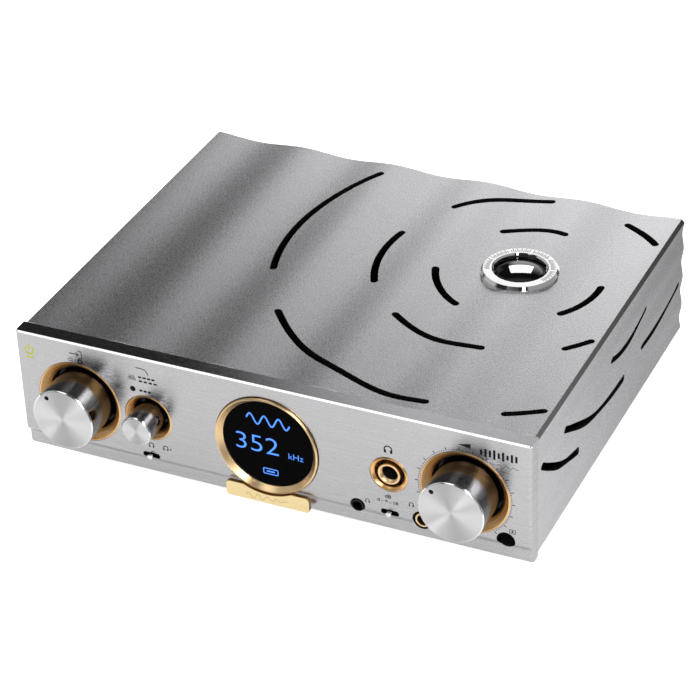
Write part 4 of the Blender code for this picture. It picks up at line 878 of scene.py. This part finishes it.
# knobs: (name, steps round, the dimple's angle if it has one)
KNOBS = (("input", 160, 125.7), ("volume", 160, 135.0), ("filter", 96, None))
DIMPLE_REACH = radius_of("input_knob") * 0.815


def trim_ring(prefix, dish, flank):
    """Gold ring dished twice towards its knob, with a cup behind it and a thin rolled rim."""
    node_name = prefix + "_trim_ring"
    outer = radius_of(node_name)
    lip = outer + GAP_COVER
    rim, back = depths(node_name)
    inner = outer - dish
    throat = radius_of(prefix + "_knob") + 0.8
    outline = [
        (lip, 0.6), (lip, 0.1, 0.05), (outer - 0.3, rim, 0.2), (inner, flank, 0.3),
        (throat + 0.5, flank + 1.1), (throat, flank + 1.6), (throat, flank + 2.2), (inner, flank + 2.8),
        (inner, CUP_FLOOR), (CUP_RADIUS, CUP_FLOOR), (CUP_RADIUS, back), (outer, back), (outer, 0.6),
    ]
    ring = turned(prefix + "_dish", outline, on_plane(node_name), (GOLD, GLOSS_BLACK), 128)
    # Painted shade: gloss black on the throat and on the cup behind the ring.
    paint(ring, 1, lambda spot, n: spot.xz.length < inner + 0.1 and spot.y > flank + 1.2)
    stands_for(ring, node_name)


def dimple(cap, name, spot, reach):
    """A small spherical dent; returns the test for its inside, where shade is painted."""
    ball_radius = (DIMPLE_RADIUS ** 2 + DIMPLE_DEPTH ** 2) / (2 * DIMPLE_DEPTH)
    lift = ball_radius - DIMPLE_DEPTH
    ball = [(ball_radius * sin(pi * i / 24), -lift - ball_radius * cos(pi * i / 24)) for i in range(24)]
    carve(cap, [turned("ball", ball + [(0, ball_radius - lift)], on_plane(name) + spot, (), 48)])
    return lambda place: (reach + 0.02 < place.y < reach + 2 and (place - spot).xz.length < DIMPLE_RADIUS)


def knob(prefix, steps, angle):
    """Mirror-sided knob with a spun face, a thin bright chamfer and, on big knobs, a dimple."""
    name, shaft = prefix + "_knob", prefix + "_shaft"
    reach, back = depths(name)
    radius = radius_of(name)
    bore = radius_of(shaft) + GAP
    floor = depths(shaft)[0] - GAP
    rim = 0.4
    outline = [
        (0, reach), (radius - rim, reach, 0.12), (radius, reach + rim, 0.12), (radius, back, 0.3),
        (bore, back), (bore, floor), (0, floor),
    ]
    cap = turned(prefix + "_cap", outline, on_plane(name), (DARK_CHROME, SPUN, POLISHED, CAVITY), steps)
    if angle:
        angle = radians(angle)
        spot = Vector((DIMPLE_REACH * cos(angle), reach, DIMPLE_REACH * sin(angle)))
        dented = dimple(cap, name, spot, reach)
    paint(cap, 1, lambda spot, n: n.y < -0.98)
    paint(cap, 2, lambda spot, n: -0.98 <= n.y < -0.25 and spot.y < reach + 0.6)
    # Painted shade in the dimple; set_screw paints the screw hole.
    if angle:
        paint(cap, 3, lambda spot, n: dented(spot))
    else:
        set_screw(cap)
    stands_for(cap, name)


def set_screw(cap):
    """The filter knob's screw hole, and the socket-head screw in it."""
    axis = on_plane("filter_knob")
    spot = middle("filter_set_screw")
    outward = Vector((spot.x - axis.x, 0, spot.z - axis.z)).normalized()
    tilt = Vector((0, 0, 1)).rotation_difference(outward).to_euler()
    start = Vector((axis.x, spot.y, axis.z))
    span = radius_of("filter_knob")
    face = depths("filter_knob")[0]
    outline = [(0, 3.3), (1.5, 3.3), (1.5, 5.5, 0.3), (0, 5.5)]
    bore = hole(1.8, start, 2, 8, 40, "Z")
    bore.rotation_euler = tilt
    carve(cap, [bore])
    # Painted shade on the screw hole's wall.
    paint(cap, 3, lambda spot, n: spot.xz.length < span - 0.3 and abs(n.y) < 0.97 and spot.y > face + 0.8)
    screw = turned("filter_grub_screw", outline, start, (STEEL,), 32, "Z")
    key = prism("key", regular(0.8, 6), 4.3, 6.0, start, (), axis="Z")
    for piece in (screw, key):
        piece.rotation_euler = tilt
    carve(screw, [key])
    stands_for(screw, "filter_set_screw")


# ---------------------------------------------------------------- display and nameplate
def display():
    outer = radius_of("display_bezel")
    rim, back = depths("display_bezel")
    inner = radius_of("display_glass") + GAP
    outline = [
        (outer, rim, 0.15), (outer - 0.5, rim - 0.5, 0.3), (inner, 0.9, 0.2), (inner, back), (outer, back),
    ]
    rim = turned("display_rim", outline, on_plane("display_bezel"), (BRIGHT_GOLD,), 160)
    stands_for(rim, "display_bezel")
    front, back = depths("display_glass")
    inside = radius_of("display_glass")
    pane = [(0, front), (inside, front, 0.15), (inside, back), (0, back)]
    stands_for(turned("display_pane", pane, on_plane("display_glass"), (GLASS,), 128), "display_glass")
    level = FRONT + front
    x, z = flat_place("display_glass")
    shown = [
        lettering("display_digits", "352", (17.8, 7.4), (x - 4.7, z - 0.9), level, LIT, -0.012),
        lettering("display_unit", "kHz", (6.2, 2.6), (x + 11.4, z - 3.4), level, LIT, -0.008),
    ]
    signs = stroke([(x - 8.6 + 0.3 * i, z + 10.3 + 2.1 * sin(2 * pi * i / 20)) for i in range(61)], 0.62)
    plug = Vector((x + 0.4, z - 12.7))
    signs += stroke([plug + p for p in rounded_box(3.0, 1.2, 0.4)], 0.40, True) + bar(plug, 3.4, 0.6)
    shown.append(printed("display_signs", signs, level, LIT, 0.03))
    for piece in shown:
        goes_with(piece, "display_glass")


def nameplate():
    low, high = box("nameplate")
    place = on_plane("nameplate")
    outline = face_outline("nameplate", 1.2, 6)
    plate = prism("name_bar", outline, low.y - FRONT, high.y - FRONT, place, (PALE_GOLD, SHADED_GOLD), 0.18)
    bezel = on_plane("display_bezel", 0)
    carve(plate, [hole(radius_of("display_bezel") + 0.05, bezel, FRONT - 4, FRONT + 1, 160)])
    # Painted shade: the faces that don't look straight ahead get the dark gold.
    paint(plate, 1, lambda spot, n: n.y > -0.9)
    stands_for(plate, "nameplate")
    flourish = []
    for i in range(73):
        share = i / 72
        swing = 1.3 * sin(share * 9 * pi) * (1 - share) ** 0.7
        flourish.append((place.x - 9 + 18 * share, place.z - 1.2 + 0.6 * share * share + swing))
    line = printed("name_bar_line", stroke(flourish, 0.20), low.y, BRASS, 0.01)
    goes_with(line, "nameplate")


# ---------------------------------------------------------------- front sockets and switches
def nose(node_name, name, radius, bore, bore_end, rebate=None):
    """A socket: eased round nose through the panel, box body behind it and a bore for the plug."""
    place = on_plane(node_name)
    front, back = depths(node_name)
    body_front = PANEL_DEPTH + GAP
    body = prism(name, face_outline(node_name, 0.4), body_front, back, place, (GLOSS_BLACK,), 0.3)
    outline = [(0, front), (radius, front, 0.3), (radius, body_front + 1), (0, body_front + 1)]
    carve(body, [turned("nose", outline, place, (), 72)], "UNION")
    for reach, end in [(bore, bore_end)] + ([rebate] if rebate else []):
        carve(body, [hole(reach, place, front - THROUGH, end, 64)])
    stands_for(body, node_name)


def phone_socket():
    """Dished ring and threaded sleeve of the 6.3 mm socket, with the contact seen in its mouth."""
    place = on_plane("phone_socket_trim")
    outer = radius_of("phone_socket_trim")
    lip = outer + GAP_COVER
    front, back = depths("phone_socket_trim")
    outline = [
        (lip, 0.5), (lip, 0.1, 0.05), (outer - 0.4, front, 0.2), (6.1, 0.6, 0.2), (5.9, 1.2), (5.9, back),
        (outer, back), (outer, 0.5),
    ]
    stands_for(turned("phone_dish", outline, place, (GOLD,), 112), "phone_socket_trim")
    outer = radius_of("phone_socket_bush")
    front, back = depths("phone_socket_bush")
    bore = 3.3
    outline = [(bore, back)]
    for i in range(10):
        along = back - 0.4 - i * 0.6
        outline += [(bore, along), (bore + 0.22, along - 0.3)]
    outline += [
        (bore, front + 0.5), (bore + 0.5, front, 0.15), (outer - 0.2, front, 0.2), (outer, front + 0.4),
        (outer, back),
    ]
    bush = turned("phone_sleeve", outline, place, (BRIGHT_GOLD, CAVITY), 96)
    # Painted shade deep in the sleeve's bore.
    paint(bush, 1, lambda spot, n: spot.y > front + 1.6 and spot.xz.length < bore + 0.4)
    stands_for(bush, "phone_socket_bush")
    spring = prism("phone_contact", rounded_box(0.9, 1.2, 0.3), 0, 6, place + Vector((1.6, 9.0, 1.4)),
                   (BRIGHT_GOLD,), 0.3)
    goes_with(spring, "phone_socket_body")


def front_sockets():
    phone_socket()
    nose("mini_socket", "mini_jack", MINI_NOSE, 1.8, 16)
    tip = turned("mini_contact", [(0, 0), (0.5, 0.2), (0.6, 0.9, 0.2), (0, 1.2)],
                 on_plane("mini_socket") + Vector((0.7, 3.5, -0.7)), (BRIGHT_GOLD,), 24)
    goes_with(tip, "mini_socket")
    low, high = depths("balanced_socket_trim")
    outer = radius_of("balanced_socket_trim")
    nose("balanced_socket", "balanced_jack", BALANCED_NOSE, 2.3, 21, (outer + GAP, high + GAP))
    outline = [(2.3, low, 0.1), (outer, low, 0.2), (outer, high), (2.3, high)]
    ring = turned("balanced_ring", outline, on_plane("balanced_socket_trim"), (BRIGHT_GOLD,), 72)
    stands_for(ring, "balanced_socket_trim")


def switches():
    for lever in LEVERS:
        front, back = depths(lever, 0)
        tab = prism(lever.replace("lever", "tab"), face_outline(lever, 0.4, 5), front, back,
                    on_plane(lever, 0), (CHROME,), 0.35, steps=4)
        stands_for(tab, lever)


def remote_window():
    front, back = depths("remote_lens")
    edge = radius_of("remote_lens")
    lip = edge + GAP_COVER
    outline = [
        (0, front), (edge * 0.5, front + 0.1), (lip, front + 0.4, 0.2), (lip, front + 1.0),
        (edge, front + 1.0), (edge, back), (0, back),
    ]
    stands_for(turned("remote_pane", outline, on_plane("remote_lens"), (GLASS,), 72), "remote_lens")


# ---------------------------------------------------------------- rear panel and sockets
REAR_HOLES = {
    "balanced_output_left": 12.1, "balanced_output_right": 12.1, "line_output_left": 4.5,
    "line_output_right": 4.5, "coaxial_input": 5.0, "power_inlet": 5.3, "rear_screw_1": 1.8,
    "rear_screw_2": 1.8, "rear_screw_3": 1.8, "rear_screw_4": 1.8,
}


def rear_turned(node_name, name, outline, finishes, steps=72):
    return turned(name, outline, on_plane(node_name, REAR), finishes, steps)


def rear_panel():
    front, back = depths("rear_panel", 0)
    outline = face_outline("rear_panel", PLATE_CORNER)
    panel = prism("rear_plate", outline, front, back, on_plane("rear_panel", 0), (BLASTED,), 0.3)
    span = (front - THROUGH, back + THROUGH)
    cutters = [hole(reach, on_plane(name, 0), *span, 64) for name, reach in REAR_HOLES.items()]
    for name in ("usb_input", "network_port"):
        cutters.append(prism("port", face_outline(name, 0.5, grow=GAP), *span, on_plane(name, 0), ()))
    carve(panel, cutters)
    stands_for(panel, "rear_panel")


def rear_screw(name):
    start, crown = depths(name, REAR)
    head = radius_of(name)
    outline = [
        (0, start), (1.5, start, 0.4), (1.5, GAP), (head, GAP, 0.1), (head - 0.2, crown - 0.5, 0.4),
        (head - 1.2, crown, 0.4), (0, crown),
    ]
    screw = rear_turned(name, name + "_button", outline, (CAVITY,), 48)
    carve(screw, [prism("key", regular(1.0, 6), crown - 0.8, crown + 1, on_plane(name, REAR), ())])
    stands_for(screw, name)


def balanced_output(name):
    """Square flange with two screw heads and a round mouth that holds three pins."""
    start, top = depths(name, REAR)
    place = on_plane(name, REAR)
    body = prism(name + "_flange", face_outline(name, 2.2, 6), GAP, top, place, (BLACK,), 0.4)
    shell = [(0, start), (11.8, start, 0.5), (11.8, GAP + 1), (0, GAP + 1)]
    carve(body, [turned("shell", shell, place, (), 96)], "UNION")
    floor = start + 5
    mouth = [(0, floor), (9.5, floor), (9.5, top - 0.4), (10.1, top + 0.2), (10.1, top + 2), (0, top + 2)]
    screws = [hole(1.4, place + Vector((side * 10.2, 0, side * 12.5)), top - 0.8, top + 1, 32)
              for side in (-1, 1)]
    carve(body, [turned("mouth", mouth, place, (), 96)] + screws)
    stands_for(body, name)
    outline = [(0, floor + 0.1), (1.2, floor + 0.1), (1.2, -1.5, 0.7), (0, -1.5)]
    for index, angle in enumerate((90, 210, 330)):
        offset = Vector((4.5 * cos(radians(angle)), 0, -4.5 * sin(radians(angle))))
        pin = turned(f"{name}_pin_{index + 1}", outline, place + offset, (BRIGHT_GOLD,), 32)
        goes_with(pin, name)
    outline = [(11.2, top - 0.2), (11.2, top + 0.25, 0.1), (10.3, top + 0.25, 0.1), (10.3, top - 0.2)]
    goes_with(turned(name + "_lip", outline, place, (STEEL,), 96), name)


def line_output(name):
    start, end = depths(name, REAR)
    outline = [
        (0, start), (4.2, start), (4.2, GAP), (6.2, GAP, 0.2), (6.2, 2.5, 0.3), (4.2, 2.5, 0.2),
        (4.2, end - 0.5, 0.2), (3.8, end, 0.2), (3.0, end, 0.1), (3.0, end - 0.4, 0.1), (1.6, end - 0.4, 0.2),
        (1.6, 1.0), (0, 1.0),
    ]
    barrel = rear_turned(name, name + "_barrel", outline, (BRIGHT_GOLD, NYLON, CAVITY))
    paint(barrel, 1, lambda spot, n: spot.xz.length < 2.95 and spot.y > end - 0.6)
    # Painted shade inside the centre hole.
    paint(barrel, 2, lambda spot, n: spot.xz.length < 1.61 and 0 < spot.y < end - 0.8)
    stands_for(barrel, name)


def coaxial_input():
    start, end = depths("coaxial_input", REAR)
    outline = [(0, start), (4.7, start), (4.7, GAP), (6.6, GAP, 0.2), (6.6, 2.3, 0.3), (4.7, 2.3, 0.2)]
    for i in range(9):
        along = 3.0 + i * 0.7
        outline += [(4.7, along), (4.4, along + 0.35)]
    outline += [
        (4.7, end - 0.5, 0.1), (4.4, end, 0.1), (4.0, end, 0.1), (4.0, 1.5), (1.6, 1.5), (1.6, 6.0, 0.3),
        (0, 6.0),
    ]
    barrel = rear_turned("coaxial_input", "coaxial_barrel", outline, (STEEL, NYLON))
    paint(barrel, 1, lambda spot, n: spot.xz.length < 1.7 and spot.y > 1)
    stands_for(barrel, "coaxial_input")


def power_inlet():
    start, end = depths("power_inlet", REAR)
    outer = radius_of("power_inlet")
    outline = [
        (0, start), (outer - 0.8, start), (outer - 0.8, GAP), (outer, GAP, 0.2), (outer, end, 0.4),
        (3.0, end, 0.2), (2.8, end - 0.4), (2.8, start + 4), (1.0, start + 4), (1.0, -1.0, 0.4), (0, -1.0),
    ]
    inlet = rear_turned("power_inlet", "power_mouth", outline, (BLACK, STEEL))
    paint(inlet, 1, lambda spot, n: spot.xz.length < 1.05 and spot.y > start + 4)
    stands_for(inlet, "power_inlet")


def port_shell(name, mouth, corner, extra=None):
    """A steel shell with a mouth cut in it. Gives the depth of the mouth's floor."""
    start, end = depths(name, REAR)
    place = on_plane(name, REAR)
    shell = prism(name + "_shell", face_outline(name, 0.5), start, end, place, (STEEL, CAVITY), 0.2)
    floor = start + 8
    for outline in [rounded_box(*mouth, corner)] + ([extra] if extra else []):
        carve(shell, [prism("mouth", outline, floor, end + THROUGH, place, ())])
    # Painted shade on the mouth's floor and walls.
    paint(shell, 1, lambda spot, n: floor - 0.1 < spot.y < end - 0.2 and abs(spot.x) < mouth[0] + 0.2
          and abs(spot.z) < 5.6)
    stands_for(shell, name)
    return place, floor - 0.1


def rear_ports():
    place, floor = port_shell("usb_input", (4.6, 4.1), 1.0)
    tongue = prism("usb_input_tongue", rounded_box(2.8, 1.6, 0.3), floor, -1.0, place, (NYLON,), 0.2)
    goes_with(tongue, "usb_input")
    latch = [(-3.0, -5.5), (3.0, -5.5), (3.0, 0), (-3.0, 0)]
    place, floor = port_shell("network_port", (5.9, 4.2), 0.3, latch)
    for i in range(8):
        spring = prism(f"network_port_contact_{i + 1}", rounded_box(0.18, 0.9, 0.1), floor, floor + 4.6,
                       place + Vector((-3.6 + i * 1.03, 0, 3.0)), (BRIGHT_GOLD,), 0.08)
        goes_with(spring, "network_port")


def rear():
    rear_panel()
    for index in range(1, 5):
        rear_screw(f"rear_screw_{index}")
    for side in ("left", "right"):
        balanced_output("balanced_output_" + side)
        line_output("line_output_" + side)
    coaxial_input()
    power_inlet()
    rear_ports()


# ---------------------------------------------------------------- feet and inside
def feet():
    for index in range(1, 5):
        name = f"foot_{index}"
        spot = middle(name)
        edge = radius_of(name)
        top = box(name)[1].z
        outline = [
            (0, 4.5), (3.5, 4.5, 0.3), (3.5, 0.4, 0.3), (4.0, 0, 0.2), (edge - 1.0, 0, 0.6), (edge, 1.5, 0.8),
            (edge - 0.3, top * 0.55, 0.4), (edge - 1.0, top * 0.62, 0.4), (edge - 0.5, top * 0.72, 0.4),
            (edge - 0.5, top, 0.2), (0, top),
        ]
        stands_for(turned(name + "_pad", outline, (spot.x, spot.y, 0), (RUBBER,), 72, "Z"), name)


def tubes():
    """Glass bulbs, drawn to a tip at one end and held by a pin at the other."""
    for side in ("left", "right"):
        name = "tube_" + side
        start, back = depths(name, 0)
        edge = radius_of(name)
        pin = back - 3.5
        outline = [
            (0, start), (1.3, start + 0.8, 0.5), (2.0, start + 3.5, 1.0), (edge, start + 7.0, 3.0),
            (edge, pin, 0.8), (2.5, pin), (2.5, back, 0.3), (0, back),
        ]
        stands_for(turned(name + "_bulb", outline, on_plane(name, 0), (TUBE_GLASS,), 64), name)


def inner_finishes():
    """Every node that is still shown gets the procedural finish of its slot."""
    for name, thing in frame["nodes"].items():
        thing.data.materials.clear()
        thing.data.materials.append(FINISH_OF_SLOT[SLOT_OF[name]])


# ---------------------------------------------------------------- studio, in metres and degrees
CAMERA_AZIMUTH = 25.643
CAMERA_ELEVATION = 33.020
CAMERA_ROLL = radians(-2.314)
CAMERA_DISTANCE = 1.0669
CAMERA_LENS = 135.74
CAMERA_TARGET = Vector((-0.005488, 0.002091, 0.025380))
# soft boxes seen by the metal: (azimuth from +Y towards +X, its softness, elevation, its softness, strength)
SOFT_BOXES = (
    ((-23, 10), (7, 5), (0, 18.5), (18, 26), 2.05),
    ((-162, -130), (5, 5), (46, 64), (8, 4), 1.4),
    ((145, 150), (2, 2), (12, 46), (4, 4), 14.0),
    ((-120, -66), (14, 14), (8, 60), (8, 12), 0.45),
    ((-58, -42), (10, 8), (4, 24), (8, 10), 0.32),
    ((42, 132), (14, 6), (4, 42), (8, 12), 0.30),
    ((166, 180), (8, 1), (4, 26), (8, 10), 0.28),
    ((-180, -166), (1, 8), (4, 26), (8, 10), 0.28),
    ((-180, 180), (1, 1), (66, 90), (14, 1), 0.45),
)
DOME_LIGHT = 1.10
DARK_SURROUND = 0.02
HORIZON_GLOW = 0.35
GLOW_SECTOR = (20, 112, 20, 14)
LAMP_AZIMUTH, LAMP_ELEVATION, LAMP_DISTANCE = -20, 33, 1.5
LAMP_SIZE = (0.46, 0.50)
LAMP_POWER = 12.0
FLOOR_HALF = 4.0
FLOOR_LIFT = 0.78
MIRRORED_FLOOR_LIFT = 0.22
# the floor's reflection dims towards the back: (first depth, last depth, share left there)
FLOOR_FADE = (-0.12, 0.20, 0.30)
# and it is shaded in one sector of low reflections
FLAG_SECTOR = (122, 158, 14, 10)
FLAG_DROP = (0, 16, 1, 10)
FLAG_SHADE = 0.92


def direction(azimuth, elevation):
    """The unit vector at an azimuth from +Y towards +X, and an elevation."""
    azimuth, elevation = radians(azimuth), radians(elevation)
    return Vector((sin(azimuth) * cos(elevation), cos(azimuth) * cos(elevation), sin(elevation)))


def camera():
    back = direction(180 - CAMERA_AZIMUTH, CAMERA_ELEVATION)
    right = (-back).cross(Vector((0, 0, 1))).normalized()
    up = right.cross(-back)
    tilt_right = right * cos(CAMERA_ROLL) + up * sin(CAMERA_ROLL)
    tilt_up = up * cos(CAMERA_ROLL) - right * sin(CAMERA_ROLL)
    eye = bpy.data.objects.new("camera", bpy.data.cameras.new("camera"))
    eye.data.lens = CAMERA_LENS
    eye.data.sensor_width = 36.0
    pose = Matrix((tilt_right, tilt_up, back)).transposed().to_4x4()
    pose.translation = CAMERA_TARGET + back * CAMERA_DISTANCE
    eye.matrix_world = pose
    SCENE.collection.objects.link(eye)
    SCENE.camera = eye


def ramp(tree, value, start, end, low, high):
    sockets = {0: value, 1: start, 2: end, 3: low, 4: high}
    return node(tree, "MapRange", sockets, interpolation_type="SMOOTHSTEP").outputs[0]


def between(tree, value, low, high, soft_low, soft_high):
    """One inside a range, easing to nothing past its ends."""
    rise = ramp(tree, value, low - soft_low, low, 0.0, 1.0)
    return sums(tree, "MULTIPLY", rise, ramp(tree, value, high, high + soft_high, 1.0, 0.0))


def studio():
    """White surroundings for the floor and the eye; dark ones with soft boxes for reflections."""
    world = bpy.data.worlds.new("studio")
    SCENE.world = world
    world.use_nodes = True
    tree = world.node_tree
    tree.nodes.clear()
    split = node(tree, "SeparateXYZ", {0: node(tree, "TexCoord").outputs["Generated"]})
    azimuth = sums(tree, "DEGREES", sums(tree, "ARCTAN2", split.outputs["X"], split.outputs["Y"]))
    elevation = sums(tree, "DEGREES", sums(tree, "ARCSINE", split.outputs["Z"]))
    glow = between(tree, elevation, -90, 0, 1, 8)
    glow = sums(tree, "MULTIPLY", glow, between(tree, azimuth, *GLOW_SECTOR))
    total = sums(tree, "ADD", sums(tree, "MULTIPLY", glow, HORIZON_GLOW), DARK_SURROUND)
    for across_span, across_soft, up_span, up_soft, strength in SOFT_BOXES:
        across = between(tree, azimuth, *across_span, *across_soft)
        up = between(tree, elevation, *up_span, *up_soft)
        lobe = sums(tree, "MULTIPLY", sums(tree, "MULTIPLY", across, up), strength)
        total = sums(tree, "ADD", total, lobe)
    path = node(tree, "LightPath")
    mirror = sums(tree, "MAXIMUM", path.outputs["Is Glossy Ray"], path.outputs["Is Transmission Ray"])
    level = node(tree, "Mix", {0: mirror, 2: DOME_LIGHT, 3: total}).outputs[0]
    light = node(tree, "Background", {"Color": (1, 1, 1, 1), "Strength": level})
    output = node(tree, "OutputWorld")
    tree.links.new(light.outputs[0], output.inputs[0])


def window_lamp():
    """A square lamp that only the top window mirrors, so its dome shows one bright pane."""
    away = direction(LAMP_AZIMUTH, LAMP_ELEVATION)
    lamp = bpy.data.objects.new("window_lamp", bpy.data.lights.new("window_lamp", "AREA"))
    lamp.data.shape = "RECTANGLE"
    lamp.data.size, lamp.data.size_y = LAMP_SIZE
    lamp.data.energy = LAMP_POWER
    lamp.location = middle("window_lens") * MM + away * LAMP_DISTANCE
    lamp.rotation_euler = away.to_track_quat("Z", "Y").to_euler()
    lamp.visible_camera = False
    SCENE.collection.objects.link(lamp)
    lit = bpy.data.collections.new("lit_by_window_lamp")
    lit.objects.link(bpy.data.objects["window_dome"])
    lamp.light_linking.receiver_collection = lit


def floor():
    """White paper, lit for the eye and dimmer where the metal mirrors it."""
    shape = bmesh.new()
    bmesh.ops.create_grid(shape, x_segments=8, y_segments=8, size=FLOOR_HALF)
    white = material("floor_paper", (0.90, 0.90, 0.90), 0.85, 0.0, (120, 120, 120), 0.004, 0.02, 0.0,
                     patch=0.0, gloss=0.0)
    tree = white.node_tree
    seen = node(tree, "LightPath").outputs["Is Camera Ray"]
    shader = tree.nodes["Principled BSDF"]
    shader.inputs["Emission Color"].default_value = (1, 1, 1, 1)
    along = node(tree, "SeparateXYZ", {0: node(tree, "NewGeometry").outputs["Position"]}).outputs["Y"]
    near, far, left = FLOOR_FADE
    fade = ramp(tree, along, near, far, 1.0, left)
    ray = node(tree, "SeparateXYZ", {0: node(tree, "NewGeometry").outputs["Incoming"]})
    heading = sums(tree, "DEGREES", sums(tree, "ARCTAN2", ray.outputs["X"], ray.outputs["Y"]))
    turned_away = sums(tree, "SUBTRACT", 180, sums(tree, "ABSOLUTE", heading))
    drop = sums(tree, "DEGREES", sums(tree, "ARCSINE", ray.outputs["Z"]))
    flag = sums(tree, "MULTIPLY", between(tree, turned_away, *FLAG_SECTOR), between(tree, drop, *FLAG_DROP))
    fade = sums(tree, "MULTIPLY", fade, sums(tree, "SUBTRACT", 1.0, sums(tree, "MULTIPLY", flag, FLAG_SHADE)))
    shade = sums(tree, "MAXIMUM", fade, seen)
    paper = shader.inputs["Base Color"].links[0].from_socket
    shaded = node(tree, "VectorMath", {0: paper, "Scale": shade}, operation="SCALE").outputs[0]
    tree.links.new(shaded, shader.inputs["Base Color"])
    lift = sums(tree, "MULTIPLY", seen, FLOOR_LIFT - MIRRORED_FLOOR_LIFT)
    lift = sums(tree, "ADD", lift, MIRRORED_FLOOR_LIFT)
    tree.links.new(sums(tree, "MULTIPLY", lift, shade), shader.inputs["Emission Strength"])
    ground = put("floor", shape, (white,))
    if ground.data.polygons[0].normal.z < 0:
        ground.data.flip_normals()


SCENE.view_settings.view_transform = "Standard"
inner_finishes()
case_sleeve()
front_panel()
top_window()
for ring in TRIM_RINGS:
    trim_ring(*ring)
for dial in KNOBS:
    knob(*dial)
display()
nameplate()
front_sockets()
switches()
remote_window()
panel_marks()
rear()
feet()
tubes()
floor()
studio()
window_lamp()
camera()
